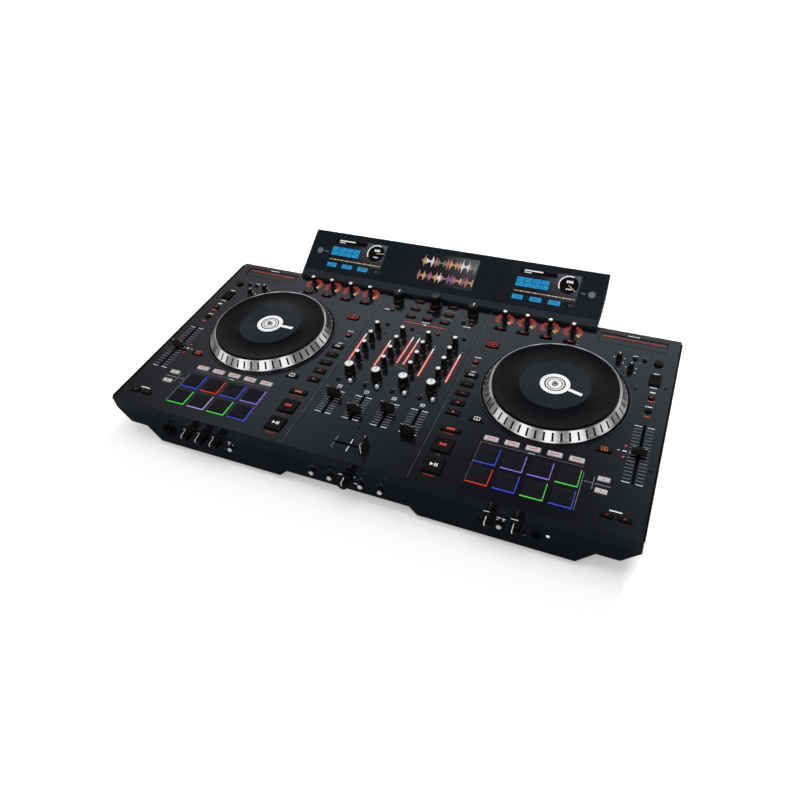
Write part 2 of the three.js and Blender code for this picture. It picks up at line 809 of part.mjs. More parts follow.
function deckKeySheet() {
  const left = mixerHalf + keySheet.innerMargin;
  const right = halfWidth - keySheet.sideMargin;
  const rearY = fxKeyY + fxKey.depth / 2 + keySheet.rearMargin;
  const base = sheetTop - keySheet.thickness;
  const sheet = block(
    right - left,
    rearY - keySheet.frontMargin,
    keySheet.thickness,
    (left + right) / 2,
    (keySheet.frontMargin + rearY) / 2,
    base,
  );
  const cutHeight = keySheet.thickness + 2 * overrun;
  const cutZ = base - overrun;
  const padReach = pad.size / 2 + padSheet.margin + keySheet.padMargin;
  const padWidth = padX(pad.columns - 1) - padX(0) + 2 * padReach;
  const padRear = padY + (pad.rows - 1) * pad.pitch + padReach - keySheet.padMargin / 2;
  const padFront = keySheet.frontMargin - overrun;
  const pitchLength = pitch.slot + 2 * keySheet.padMargin;
  const cuts = [
    post(wellRadius + keySheet.wellMargin, cutHeight, platterX, platterY, cutZ, motor.sides),
    block(padWidth, padRear - padFront, cutHeight, platterX, (padRear + padFront) / 2, cutZ),
    block(pitch.width + 2 * keySheet.padMargin, pitchLength, cutHeight, outerX, pitchY, cutZ),
  ];
  return join([sheet.subtract(join(cuts)), ...keyCaps(deckKeys())]);
}

function padBank() {
  const width = (pad.columns - 1) * pad.pitch + pad.size + 2 * padSheet.margin;
  const length = (pad.rows - 1) * pad.pitch + pad.size + 2 * padSheet.margin;
  const middleY = padY + ((pad.rows - 1) * pad.pitch) / 2;
  const base = sheetTop - padSheet.thickness;
  const parts = [block(width, length, padSheet.thickness, platterX, middleY, base)];
  const height = pad.rise - sheetTop + padSheet.thickness / 2;
  for (let row = 0; row < pad.rows; row++) {
    for (let column = 0; column < pad.columns; column++) {
      const y = padY + row * pad.pitch;
      parts.push(block(pad.size, pad.size, height, padX(column), y, sheetTop - padSheet.thickness / 2));
    }
  }
  return join(parts);
}

const faderY = mixer.faderStart + mixer.faderSlot / 2;
function mixerPlate() {
  const cuts = mixerKeys().map(throughKey);
  for (const { x, y } of mixerKnobs()) {
    cuts.push(throughRound(shaftHole, x, y, shaft.sides));
  }
  for (let channel = 0; channel < mixer.channels; channel++) {
    cuts.push(throughBlock(channelFader.width, mixer.faderSlot, channelX(channel), faderY));
  }
  cuts.push(throughBlock(mixer.crossfaderSlot, channelFader.width, 0, mixer.crossfaderY));
  const plate = topShell(-mixerHalf, mixerHalf, 0, 0).subtract(join(cuts));
  const switches = [];
  for (let channel = 0; channel < mixer.channels; channel++) {
    const x = channelX(channel) + mixer.assignOffset;
    const height = assignSwitch.rise + shell.sheet / 2;
    switches.push(post(assignSwitch.radius, height, x, assignY, -shell.sheet / 2, roundSides));
  }
  return join([plate, ...switches]);
}

// Every knob of the mixer: the plate's holes, the knobs and the main board's parts follow this list
function mixerKnobs() {
  const knobs = [];
  const rows = ["bass", "middle", "treble", "gain"];
  for (let channel = 0; channel < mixer.channels; channel++) {
    const x = channelX(channel);
    const name = "channel_" + (channel + 1);
    knobs.push({ name: name + "_filter_knob", kind: filterKnob, x, y: filterY });
    rows.forEach((row, i) => {
      knobs.push({ name: name + "_" + row + "_knob", kind: toneKnob, x, y: eqFirstY + i * mixer.eqPitch });
    });
  }
  const levelY = browseLastY - mixer.levelLead;
  knobs.push({ name: "left_level_knob", kind: levelKnob, x: -mixer.levelX, y: levelY });
  knobs.push({ name: "browse_knob", kind: browseKnob, x: 0, y: browseLastY - mixer.browseLead });
  knobs.push({ name: "right_level_knob", kind: levelKnob, x: mixer.levelX, y: levelY });
  return knobs;
}

function mixerKeySheet() {
  const base = sheetTop - keySheet.thickness;
  const rearY = browseLastY + browseKey.depth / 2 + keySheet.rearMargin / 2;
  const frontY = cueY - mixerRound.radius - keySheet.padMargin;
  const width = 2 * (mixerHalf - keySheet.innerMargin);
  const parts = [block(width, rearY - frontY, keySheet.thickness, 0, (frontY + rearY) / 2, base)];
  const rowDepth = 2 * (mixerRound.radius + keySheet.padMargin / 2);
  parts.push(block(width, rowDepth, keySheet.thickness, 0, assignY, base));
  const armLength = frontY - assignY + overrun;
  for (const side of [-1, 1]) {
    const x = side * mixer.channelPitch;
    parts.push(block(keySheet.stripWidth, armLength, keySheet.thickness, x, (frontY + assignY) / 2, base));
  }
  const holeRadius = shaft.radius + keySheet.shaftMargin;
  const holeHeight = keySheet.thickness + 2 * overrun;
  const holeFoot = base - overrun;
  const cuts = mixerKnobs().map(({ x, y }) => post(holeRadius, holeHeight, x, y, holeFoot, shaft.sides));
  return join([join(parts).subtract(join(cuts)), ...keyCaps(mixerKeys())]);
}

// The ring's cone has one V-shaped slot in the middle of each facet
function platterSolid() {
  const { rimInset, rimTop, skirtTop, bedTop } = platter;
  const radius = platterRadius;
  const rimRadius = radius - rimInset;
  const bedFoot = bedTop - platter.bedThickness;
  const dish = solid(
    turned(
      [
        [0, bedFoot],
        [radius - platter.skirtWall - rimInset, bedFoot],
        [radius - platter.skirtWall, -platter.skirtFoot],
        [radius, -platter.skirtFoot],
        [radius, skirtTop],
        [rimRadius, rimTop],
        [rimRadius - platter.rimWidth, rimTop],
        [rimRadius - platter.rimWidth, bedTop],
        [0, bedTop],
      ],
      platter.slots,
    ),
  );
  const slant = Math.hypot(rimInset, rimTop - skirtTop);
  const lean = Math.atan2(rimTop - skirtTop, rimInset);
  const facet = Math.cos(Math.PI / platter.slots);
  const slotLength = slant * platter.slotShare;
  const section = shapeOf([
    [-platter.slotWidth, platter.slotDepth],
    [0, -platter.slotDepth],
    [platter.slotWidth, platter.slotDepth],
  ]);
  const slots = [];
  for (let i = 0; i < platter.slots; i++) {
    const slot = new THREE.ExtrudeGeometry(section, { depth: slotLength, bevelEnabled: false });
    slot.rotateX(Math.PI / 2).translate(0, slotLength / 2, 0).rotateZ(Math.PI / 2).rotateY(lean);
    slot.translate(facet * (radius - rimInset / 2), 0, (skirtTop + rimTop) / 2);
    slots.push(solid(slot.rotateZ(((i + 1 / 2) * 2 * Math.PI) / platter.slots)));
  }
  const hubHeight = platter.hubDrop + bedTop - overrun;
  const hub = post(platter.hubRadius, hubHeight, 0, 0, -platter.hubDrop, platter.hubSides);
  const spindle = turned(
    [
      [0, bedFoot],
      [platter.spindleRadius, bedFoot],
      [platter.spindleRadius, platter.spindleTop - platter.spindleCrown],
      [platter.spindleRadius - platter.spindleCrown, platter.spindleTop],
      [0, platter.spindleTop],
    ],
    platter.hubSides,
  );
  const boreRadius = motor.shaftRadius + runGap;
  const boreFoot = -platter.hubDrop - overrun;
  const bore = post(boreRadius, motor.shaftRise + overrun, 0, 0, boreFoot, motor.shaftSides);
  return dish.subtract(join(slots)).add(hub).add(solid(spindle)).subtract(bore);
}

function recordSolid() {
  const foot = platter.bedTop + seatGap;
  const top = foot + record.thickness;
  const profile = [
    [0, foot],
    [record.radius, foot],
    [record.radius, top - record.edge],
    [record.radius - record.edge, top],
    [0, top],
  ];
  const hole = platter.spindleRadius + runGap;
  const cut = post(hole, record.thickness + 2 * overrun, 0, 0, foot - overrun, platter.hubSides);
  return solid(turned(profile, record.sides)).subtract(cut);
}

// The motor hangs in a flange that stands on posts in the tray's pod
function motorSolid() {
  const bossTop = -platter.hubDrop - runGap;
  const bodyTop = bossTop - motor.bossHeight;
  const flangeTop = bodyTop - motor.height;
  const profile = [
    [0, flangeTop - motor.flangeThickness],
    [motor.flangeRadius, flangeTop - motor.flangeThickness],
    [motor.flangeRadius, flangeTop],
    [motor.radius, flangeTop],
    [motor.radius, bodyTop],
    [motor.bossRadius, bodyTop],
    [motor.bossRadius, bossTop],
    [0, bossTop],
  ];
  const stem = post(motor.shaftRadius, motor.bossHeight + motor.shaftRise, 0, 0, bodyTop, motor.shaftSides);
  const parts = [solid(turned(profile, motor.sides)), stem];
  const floor = -bodyDrop + shell.wall + seatGap;
  const height = flangeTop - motor.flangeThickness / 2 - floor;
  for (let i = 0; i < motor.posts; i++) {
    const angle = ((i + 1 / 2) * 2 * Math.PI) / motor.posts;
    const [x, y] = [motor.postCircle * Math.cos(angle), motor.postCircle * Math.sin(angle)];
    parts.push(post(motor.postRadius, height, x, y, floor, motor.postSides));
  }
  return join(parts);
}

// Rear sockets
function rearOutputs() {
  return Array.from({ length: output.count }, (_, i) => ({
    x: output.startShare * halfWidth + i * output.pitch,
  }));
}
function rearPhonos() {
  const places = [];
  for (let column = 0; column < phono.columns; column++) {
    for (const row of [-1, 1]) {
      const x = phono.startShare * halfWidth + column * phono.pitch;
      places.push({ x, z: -rear.socketZ + (row * phono.rise) / 2 });
    }
  }
  return places;
}
function rearBoxes() {
  const boxes = [{ ...inlet, x: inlet.share * halfWidth }];
  for (let i = 0; i < dataSocket.count; i++) {
    const { width, height, bore, depth: boreDepth } = dataSocket;
    const x = dataSocket.startShare * halfWidth + i * dataSocket.pitch;
    boxes.push({ width, height, boreWidth: bore, boreHeight: bore, depth: boreDepth, x });
  }
  return boxes;
}

// The power supply's can, with slots across its top, stands on the floor of the right-hand pod
// and carries the mains inlet at its rear end
function supplyCan(rearEnd) {
  const floor = -bodyDrop + shell.wall + seatGap;
  const front = platterY + motor.flangeRadius + supply.gap;
  const length = rearEnd - front;
  const x = inlet.share * halfWidth - supply.offset;
  const can = block(supply.width, length, supply.height, x, (front + rearEnd) / 2, floor);
  const vents = [];
  const step = supply.width / (supply.vents + 1);
  for (let i = 1; i <= supply.vents; i++) {
    const ventX = x - supply.width / 2 + i * step;
    const size = [supply.ventWidth, length * supply.ventShare, supply.ventDepth + overrun];
    vents.push(block(...size, ventX, (front + rearEnd) / 2, floor + supply.height - supply.ventDepth));
  }
  return can.subtract(join(vents));
}

// The rear panel with its sockets, and the board behind it that they are soldered to
function rearPanel() {
  const boardY = depth - rear.boardInset;
  const face = depth + rear.proud;
  const outputs = rearOutputs();
  const boxes = rearBoxes();
  const left = outputs[0].x - output.radius;
  const right = boxes[0].x + inlet.width / 2;
  const base = -rear.socketZ - rear.boardHeight / 2;
  const parts = [
    casingBody().intersect(behindPlane(depth - shell.wall)),
    block(right - left, rear.boardThickness, rear.boardHeight, (left + right) / 2, boardY, base),
    supplyCan(boardY),
  ];
  const bores = [];
  for (const { x } of outputs) {
    parts.push(rod(output.radius, face - boardY, x, boardY, -rear.socketZ, output.sides));
    const boreY = face - output.depth;
    bores.push(rod(output.bore, output.depth + overrun, x, boreY, -rear.socketZ, output.sides));
  }
  for (const { x, z } of rearPhonos()) {
    parts.push(rod(phono.radius, depth + phono.length - boardY, x, boardY, z, phono.sides));
  }
  for (const box of boxes) {
    const low = -rear.socketZ - box.height / 2;
    const boreLow = -rear.socketZ - box.boreHeight / 2;
    parts.push(block(box.width, face - boardY, box.height, box.x, (face + boardY) / 2, low));
    const boreLength = box.depth + overrun;
    const boreY = face - box.depth + boreLength / 2;
    bores.push(block(box.boreWidth, boreLength, box.boreHeight, box.x, boreY, boreLow));
  }
  return join(parts).subtract(join(bores));
}

// The fascia with its jacks, switches and knobs, and the board behind it that they are soldered to
function frontFascia() {
  const micX = frontShares.microphone * halfWidth;
  const phonesX = frontShares.phones * halfWidth;
  const contourX = frontShares.contour * halfWidth;
  const left = micX - jack.radius;
  const right = phonesX + frontBoard.margin;
  const boardY = frontBoard.setback;
  const faceY = fasciaY(-front.socketZ);
  const base = -front.socketZ - frontBoard.height / 2;
  const potY = contourY + contour.shaftLength + runGap;
  const jackLength = boardY - faceY + jack.proud;
  const cutDepth = shell.wall + shell.kick + shell.lipSetback;
  const contourHole = rod(shaftHole, 2 * cutDepth, contourX, -cutDepth, -front.knobZ, shaft.sides);
  const parts = [
    casingBody().intersect(fasciaWedge(shell.wall)).subtract(contourHole),
    block(right - left, frontBoard.thickness, frontBoard.height, (left + right) / 2, boardY, base),
    rod(jack.radius, jackLength, micX, faceY - jack.proud, -front.socketZ, jack.sides),
    rod(phoneJack.radius, jackLength, phonesX, faceY - jack.proud, -front.socketZ, phoneJack.sides),
    rod(board.potRadius, boardY - potY, contourX, potY, -front.knobZ, board.potSides),
  ];
  for (const share of [...frontShares.leftKnobs, ...frontShares.rightKnobs]) {
    parts.push(fusedFrontKnob(share * halfWidth));
  }
  for (const share of frontShares.switches) {
    const y = fasciaY(-front.switchZ) - front.switchProud;
    const length = front.switchProud + shell.wall / 2;
    parts.push(rod(front.switchRadius, length, share * halfWidth, y, -front.switchZ, roundSides));
  }
  const boreY = faceY - jack.proud - overrun;
  const bores = [
    rod(jack.bore, jack.depth + overrun, micX, boreY, -front.socketZ, jack.sides),
    rod(phoneJack.bore, phoneJack.depth + overrun, phonesX, boreY, -front.socketZ, phoneJack.sides),
  ];
  return join(parts).subtract(join(bores));
}

// The main board stands on posts under the mixer and carries a part below every knob and fader
function mainBoard() {
  const top = -shaft.drop - runGap - board.potHeight;
  const base = top - board.thickness;
  const halfBoard = mixerHalf - boardInset.side;
  const [frontY, rearY] = [boardInset.front, depth - boardInset.rear];
  const parts = [block(2 * halfBoard, rearY - frontY, board.thickness, 0, (frontY + rearY) / 2, base)];
  for (const { x, y } of mixerKnobs()) {
    parts.push(post(board.potRadius, board.potHeight + overrun, x, y, top - overrun, board.potSides));
  }
  const trackFoot = top - overrun;
  const trackHeight = -cap.stemDrop - runGap - trackFoot;
  for (let channel = 0; channel < mixer.channels; channel++) {
    parts.push(block(board.trackWidth, mixer.faderSlot, trackHeight, channelX(channel), faderY, trackFoot));
  }
  parts.push(block(mixer.crossfaderSlot, board.trackWidth, trackHeight, 0, mixer.crossfaderY, trackFoot));
  const floor = -bodyDrop + shell.archRise + shell.wall + seatGap;
  for (const side of [-1, 1]) {
    for (const y of [frontY + boardInset.post, rearY - boardInset.post]) {
      const x = side * (halfBoard - board.postRadius);
      parts.push(post(board.postRadius, base - floor + board.thickness / 2, x, y, floor, board.potSides));
    }
  }
  return join(parts);
}

// The display's own frame: x to the right, y up its face, z out of its face
const displayPlace = new THREE.Matrix4()
  .makeTranslation(0, depth - display.setback, display.lift)
  .multiply(new THREE.Matrix4().makeRotationX(display.tilt));
function onFace(y, z) {
  const point = new THREE.Vector3(0, y, z).applyMatrix4(displayPlace);
  return [point.y, point.z];
}
function faceCut(width, low, high, drop) {
  const geometry = new THREE.BoxGeometry(width, high - low, drop + overrun);
  geometry.translate(0, (low + high) / 2, (overrun - drop) / 2);
  return solid(geometry.applyMatrix4(displayPlace));
}

function displayHousing() {
  const foot = [depth - display.setback, seatGap];
  const rearFoot = [depth + display.neckRear, seatGap];
  const wedge = alongX(
    [
      foot,
      onFace(0, 0),
      onFace(display.slant, 0),
      onFace(display.slant, -display.edge),
      onFace(display.slant * display.bellyShare, -display.belly),
      rearFoot,
    ],
    -displayHalf,
    displayHalf,
  );
  const neckHalf = displayHalf - display.neckInset;
  const neck = alongX(
    [
      [depth + seatGap, -display.neckDrop],
      [depth + display.neckRear / 2, -display.neckDrop],
      [depth + display.neckRear, seatGap + overrun],
      [depth + seatGap, seatGap + overrun],
    ],
    -neckHalf,
    neckHalf,
  );
  const inset = display.frame - seatGap;
  const panelLow = display.chin - seatGap;
  const panelHigh = display.slant - inset;
  const pocketWidth = 2 * (displayHalf - display.frame - display.ledge);
  const recess = faceCut(2 * (displayHalf - inset), panelLow, panelHigh, display.panel + seatGap);
  const pocket = faceCut(pocketWidth, panelLow + display.ledge, panelHigh - display.ledge, display.pocket);
  return wedge.add(neck).subtract(recess).subtract(pocket);
}

const screenPlaces = [-display.screenPitch, 0, display.screenPitch];
const buttonPlaces = [-1, 1].map((side) => side * (displayHalf - display.buttonInset));

function displayPanel() {
  const width = 2 * (displayHalf - display.frame);
  const [low, high] = [display.chin, display.slant - display.frame];
  const panel = block(width, high - low, display.panel, 0, (low + high) / 2, -display.panel);
  const cutHeight = display.panel + 2 * overrun;
  const cutZ = -display.panel - overrun;
  const cuts = screenPlaces.map((x) =>
    block(display.screenWidth, display.screenHeight, cutHeight, x, display.screenCentre, cutZ),
  );
  for (const x of buttonPlaces) {
    const radius = display.buttonRadius + runGap;
    cuts.push(post(radius, cutHeight, x, display.screenCentre, cutZ, display.buttonSides));
  }
  return panel.subtract(join(cuts));
}

function displayBoard() {
  const [low, high] = [display.chin + display.ledge, display.slant - display.frame - display.ledge];
  const width = 2 * (displayHalf - display.frame - display.ledge - seatGap);
  const base = -display.pocket + seatGap;
  const length = high - low - 2 * seatGap;
  const parts = [block(width, length, display.boardThickness, 0, (low + high) / 2, base)];
  const lcdHeight = -display.lcdDrop - base;
  for (const x of screenPlaces) {
    const size = [display.screenWidth - 2 * seatGap, display.screenHeight - 2 * seatGap, lcdHeight];
    parts.push(block(...size, x, display.screenCentre, base));
  }
  for (const x of buttonPlaces) {
    const height = display.buttonRise - base;
    parts.push(post(display.buttonRadius, height, x, display.screenCentre, base, display.buttonSides));
  }
  return join(parts);
}

// Fixed pieces
add("base_tray", baseTray(), darkShell);
add("mixer_plate", mixerPlate(), charcoal);
add("main_board", mainBoard(), boardGreen);
add("front_fascia", frontFascia(), darkShell);
add("rear_panel", rearPanel(), darkShell);
add("display_housing", displayHousing(), darkShell);
const displayFrame = new THREE.Group();
displayFrame.applyMatrix4(displayPlace);
controller.add(displayFrame);
add("display_panel", displayPanel(), charcoal, displayFrame);
add("display_board", displayBoard(), screenBlue, displayFrame);

// The two decks are each other's mirror image
const rightDeck = new THREE.Group();
const leftDeck = new THREE.Group();
leftDeck.scale.x = -1;
controller.add(rightDeck, leftDeck);
const knobOnDeck = knobSolid(fxKnob, shaft.drop);
const deckPieces = [
  ["deck_plate", deckPlate(), charcoal, 0, 0],
  ["deck_keys", deckKeySheet(), keyDark, 0, 0],
  ["pads", padBank(), rubberBlack, 0, 0],
  ["platter_motor", motorSolid(), steel, platterX, platterY],
  ["platter", platterSolid(), silver, platterX, platterY],
  ["record", recordSolid(), vinyl, platterX, platterY],
  ["pitch_fader_cap", capSolid(cap.pitchHeight), blackGloss, outerX, pitchY],
];
for (let i = 0; i < deck.fxCount; i++) {
  deckPieces.push(["effect_knob_" + (i + 1), knobOnDeck, blackGloss, fxX(i), fxKnobY]);
}
for (const [side, group] of [
  ["right", rightDeck],
  ["left", leftDeck],
]) {
  for (const [name, made, material, x, y] of deckPieces) {
    add(side + "_" + name, made, material, group).position.set(x, y, 0);
  }
}

// Mixer controls, each at the setting that it has at rest, as a share of its travel
add("mixer_keys", mixerKeySheet(), keyDark);
for (const { name, kind, x, y } of mixerKnobs()) {
  add(name, knobSolid(kind, shaft.drop), blackGloss).position.set(x, y, 0);
}
const faderRestShares = [0.77, 0.3, 0.68, 0];
faderRestShares.forEach((share, channel) => {
  const from = mixer.faderStart + faderEnd;
  const travel = mixer.faderSlot - 2 * faderEnd;
  const fader = add("channel_" + (channel + 1) + "_fader_cap", capSolid(cap.mixerHeight), blackGloss);
  fader.position.set(channelX(channel), from + share * travel, 0);
});
const crossfader = add("crossfader_cap", capSolid(cap.mixerHeight), blackGloss);
crossfader.rotation.z = Math.PI / 2;
crossfader.position.set(mixer.crossfaderSlot / 2 - faderEnd, mixer.crossfaderY, 0);
const contourKnob = add("contour_knob", knobSolid(frontKnob, contour.shaftLength), blackGloss);
contourKnob.rotation.x = Math.PI / 2;
contourKnob.position.set(frontShares.contour * halfWidth, contourY, -front.knobZ);

// The origin lies under the middle, between the curve knob's face and the display's rear edge
const frontReach = contourY - frontKnob.height - pointer.proud / 2;
const [rearReach] = onFace(display.slant, -display.edge);
controller.position.set(0, -(frontReach + rearReach) / 2, standHeight);

export default controller;
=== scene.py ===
# A four-channel controller with two motor-driven platters, a mixer between them and a tilted display
# behind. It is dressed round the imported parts, in metres, with +Z up and +Y away from the player.
import json
import math

import bmesh
import bpy
import numpy as np
from mathutils import Matrix, Vector

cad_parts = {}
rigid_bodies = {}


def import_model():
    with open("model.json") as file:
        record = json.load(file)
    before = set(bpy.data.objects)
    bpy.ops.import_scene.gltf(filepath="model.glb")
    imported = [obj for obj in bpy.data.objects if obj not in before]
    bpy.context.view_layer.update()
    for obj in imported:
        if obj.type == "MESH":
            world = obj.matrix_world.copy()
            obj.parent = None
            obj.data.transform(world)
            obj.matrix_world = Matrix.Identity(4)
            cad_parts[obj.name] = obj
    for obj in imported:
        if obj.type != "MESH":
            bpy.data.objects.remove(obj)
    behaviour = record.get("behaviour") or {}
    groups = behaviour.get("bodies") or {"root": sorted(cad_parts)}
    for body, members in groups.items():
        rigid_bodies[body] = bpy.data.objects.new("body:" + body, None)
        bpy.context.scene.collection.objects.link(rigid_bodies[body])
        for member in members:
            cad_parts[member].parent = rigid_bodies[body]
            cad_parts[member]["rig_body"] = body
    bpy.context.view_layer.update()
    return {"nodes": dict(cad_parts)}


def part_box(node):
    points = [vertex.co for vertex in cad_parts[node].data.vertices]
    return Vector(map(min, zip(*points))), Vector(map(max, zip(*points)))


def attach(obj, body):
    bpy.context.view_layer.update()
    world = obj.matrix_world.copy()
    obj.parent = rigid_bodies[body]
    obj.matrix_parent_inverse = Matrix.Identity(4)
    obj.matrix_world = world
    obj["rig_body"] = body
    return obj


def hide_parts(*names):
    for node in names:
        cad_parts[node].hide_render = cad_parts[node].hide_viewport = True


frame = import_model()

# The room: a white floor and backdrop that the camera sees as plain white, a large soft light from above, a
# weak one in front, and a firmer one behind the display, which throws the short shadows before the knobs.
MM = 0.001
WHITE = (1, 1, 1, 1)
scene = bpy.context.scene
scene.view_settings.view_transform = "Standard"


class Tree:
    """A node tree with short calls. An input takes a number, a colour or another node's output."""

    def __init__(self, owner):
        owner.use_nodes = True
        self.owner = owner
        self.nodes = owner.node_tree.nodes
        self.shader = self.nodes.get("Principled BSDF") or self.nodes.get("Background")

    def feed(self, node, inputs):
        """Sets or links each of a node's inputs."""
        for key, value in inputs.items():
            if isinstance(value, bpy.types.NodeSocket):
                self.owner.node_tree.links.new(value, node.inputs[key])
            else:
                node.inputs[key].default_value = value

    def add(self, kind, inputs=None, output=0, **settings):
        """A new node's output, once its settings and its inputs are given."""
        node = self.nodes.new("ShaderNode" + kind)
        for name, value in settings.items():
            setattr(node, name, value)
        self.feed(node, inputs or {})
        return node.outputs[output]

    def maths(self, operation, first, second=0.0):
        """A math node's output."""
        return self.add("Math", {0: first, 1: second}, operation=operation)

    def mix(self, amount, first, second):
        """A number or a colour between two, by amount."""
        kind = "FLOAT" if isinstance(first, float) else "RGBA"
        return self.add("Mix", {"Factor": amount, "A": first, "B": second}, "Result", data_type=kind)

    def spread(self, value, low, high, to_low=0.0, to_high=1.0, kind="SMOOTHSTEP"):
        """The value between low and high, eased to to_low..to_high and held there outside them."""
        ends = {"From Min": low, "From Max": high, "To Min": to_low, "To Max": to_high}
        return self.add("MapRange", {**ends, "Value": value}, "Result", interpolation_type=kind)

    def near(self, direction, azimuth, elevation, inner, outer, to_near, to_far):
        """to_near within inner degrees of a direction of the sky, to_far beyond outer degrees of it."""
        a, e = math.radians(azimuth), math.radians(elevation)
        middle = (math.sin(a) * math.cos(e), math.cos(a) * math.cos(e), math.sin(e))
        dot = self.add("VectorMath", {0: direction, 1: middle}, "Value", operation="DOT_PRODUCT")
        return self.spread(dot, math.cos(math.radians(outer)), math.cos(math.radians(inner)), to_far, to_near)


# What the glossy plates mirror in place of the lamps: a white backdrop behind, brightest low down and
# darker overhead, that ends on the left, with a dark gap high up in the middle and lighter places beside
# it. In front stand upright white boards with dark gaps between, which the metal rings show.
scene.world = bpy.data.worlds.new("studio")
sky = Tree(scene.world)
fill_strength = 0.36
board_turns = 9.0
sky_where = sky.add("TexCoord", output="Generated")
sky_axes = sky.add("SeparateXYZ", {0: sky_where}).node.outputs
sky_turn = sky.maths("ARCTAN2", sky_axes["X"], sky_axes["Y"])
mirrored = sky.spread(sky_axes["Z"], 0.58, 0.80, 1.1, 0.03)
for share in (sky.spread(sky_axes["Z"], 0.50, 0.60, 0.72, 1.0),
              sky.spread(sky_turn, math.radians(-53), math.radians(-26), 0.16, 1.0),
              sky.spread(sky_turn, math.radians(25), math.radians(60), 1.0, 0.25),
              sky.near(sky_where, -8, 50, 3, 11, 0.25, 1.0)):
    mirrored = sky.maths("MULTIPLY", mirrored, share)
for azimuth, elevation, level in ((8, 48, 0.4), (-45, 43, 0.35)):
    mirrored = sky.maths("ADD", mirrored, sky.near(sky_where, azimuth, elevation, 3, 10, level, 0.0))
sky_bands = sky.maths("SINE", sky.maths("MULTIPLY", sky_turn, board_turns))
for axis, low, high, dark, bright in (("Y", -0.55, -0.15, 0.35, 1.5), ("Z", 0.30, 0.46, 0.3, 1.1)):
    boards = sky.spread(sky_bands, -0.35, 0.35, dark, bright)
    boards = sky.maths("MULTIPLY", boards, sky.spread(sky_axes[axis], low, high, 1.0, 0.0))
    mirrored = sky.maths("MAXIMUM", mirrored, boards)
rays = sky.add("LightPath").node.outputs
level = sky.mix(rays["Is Glossy Ray"], fill_strength, mirrored)
seen = sky.maths("MAXIMUM", rays["Is Camera Ray"], rays["Is Transmission Ray"])
sky.feed(sky.shader, {"Color": WHITE, "Strength": sky.maths("MAXIMUM", level, seen)})

half_floor = 1.9
floor_mesh = bpy.data.meshes.new("floor")
floor_corners = [(half_floor * x, half_floor * y, 0) for x, y in ((-1, -1), (1, -1), (1, 1), (-1, 1))]
floor_mesh.from_pydata(floor_corners, [], [(0, 1, 2, 3)])
floor = bpy.data.objects.new("floor", floor_mesh)
scene.collection.objects.link(floor)
# To the camera the floor glows, more further out, so that it stays plain white. To glossy rays it is dark grey:
# painted shade, which stands for the floor's shade round the casing in what the casing mirrors.
paper = Tree(bpy.data.materials.new("floor_paper"))
rays = paper.add("LightPath").node.outputs
reach = paper.add("VectorMath", {0: paper.add("TexCoord", output="Object")}, "Value", operation="LENGTH")
level = paper.spread(reach, 0.62, 1.1, 0.34, 0.85)
paper.feed(paper.shader, {
    "Roughness": 0.9, "Specular IOR Level": 0.0, "Emission Color": WHITE,
    "Base Color": paper.mix(rays["Is Glossy Ray"], (0.88, 0.88, 0.88, 1), (0.13, 0.145, 0.165, 1)),
    "Emission Strength": paper.maths("MULTIPLY", rays["Is Camera Ray"], level),
})
floor_mesh.materials.append(paper.owner)

for name, place, aim, width, length, power in (
    ("key", (0.5, 1.75, 1.75), (0, 0, 0.05), 0.7, 0.5, 42),
    ("front", (-1.6, -2.0, 2.2), (0, 0, 0.05), 2.0, 1.4, 9),
    ("top", (0.2, -0.2, 2.8), (0, 0, 0), 2.4, 2.0, 36),
):
    light = bpy.data.lights.new(name, "AREA")
    light.shape = "RECTANGLE"
    light.size, light.size_y = width, length
    light.energy = power
    lamp = bpy.data.objects.new(name, light)
    lamp.location = place
    lamp.rotation_euler = (Vector(aim) - Vector(place)).to_track_quat("-Z", "Y").to_euler()
    lamp.visible_glossy = False
    scene.collection.objects.link(lamp)

# The camera stands to the player's right, looks down and to the left, and was found from the
# photograph's straight edges. Its place is given from the middle of the plates' front edge.
plate_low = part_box("mixer_plate")[0]
lip_drop = 23.0
ORIGIN = np.array([0.0, plate_low.y, plate_low.z + lip_drop * MM])


def at(points):
    """Points in millimetres from the middle of the plates' front edge, on their top, as metres in the frame."""
    return np.asarray(points, float) * MM + ORIGIN


camera_data = bpy.data.cameras.new("camera")
camera = bpy.data.objects.new("camera", camera_data)
scene.collection.objects.link(camera)
scene.camera = camera
photo_pixels = 800
focal_pixels = 685.209
camera_data.sensor_width = 36.0
camera_data.lens = focal_pixels * camera_data.sensor_width / photo_pixels
camera_data.clip_end = 30
eye = Vector(at((342.064, -497.585, 664.510)))
right_axis = Vector((0.92075269, 0.3836241, -0.07104244)).normalized()
look_axis = Vector((-0.3236695, 0.64942498, -0.68810265)).normalized()
camera_axes = Matrix((right_axis, right_axis.cross(look_axis), -look_axis)).transposed()
camera.matrix_world = Matrix.Translation(eye) @ camera_axes.to_4x4()

# The casing: a moulded tray with four rubber feet, closed by three painted plates whose lips hang over
# it, and the display's wedge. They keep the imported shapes, with their edges broken by a small bevel.


def grain(tree, scale, detail=3.0, low=0.4, high=0.6):
    """Noise on Object coordinates, spread between low and high to 0..1."""
    inputs = {"Vector": tree.add("TexCoord", output="Object"), "Scale": scale, "Detail": detail}
    return tree.spread(tree.add("TexNoise", inputs, "Fac"), low, high, kind="LINEAR")


def dress(tree, broad, fine, tones, roughness, strength, relief, more):
    """The tree's material, with its colour between two tones by broad, and by fine its roughness between two
    values and a bump of relief mm."""
    bump = tree.add("Bump", {"Strength": strength, "Distance": relief * MM, "Height": fine}, "Normal")
    tree.feed(tree.shader, {
        "Base Color": tree.mix(broad, (*tones[0], 1), (*tones[1], 1)), "Normal": bump,
        "Roughness": tree.spread(fine, 0, 1, *roughness, "LINEAR"), **more,
    })
    return tree.owner


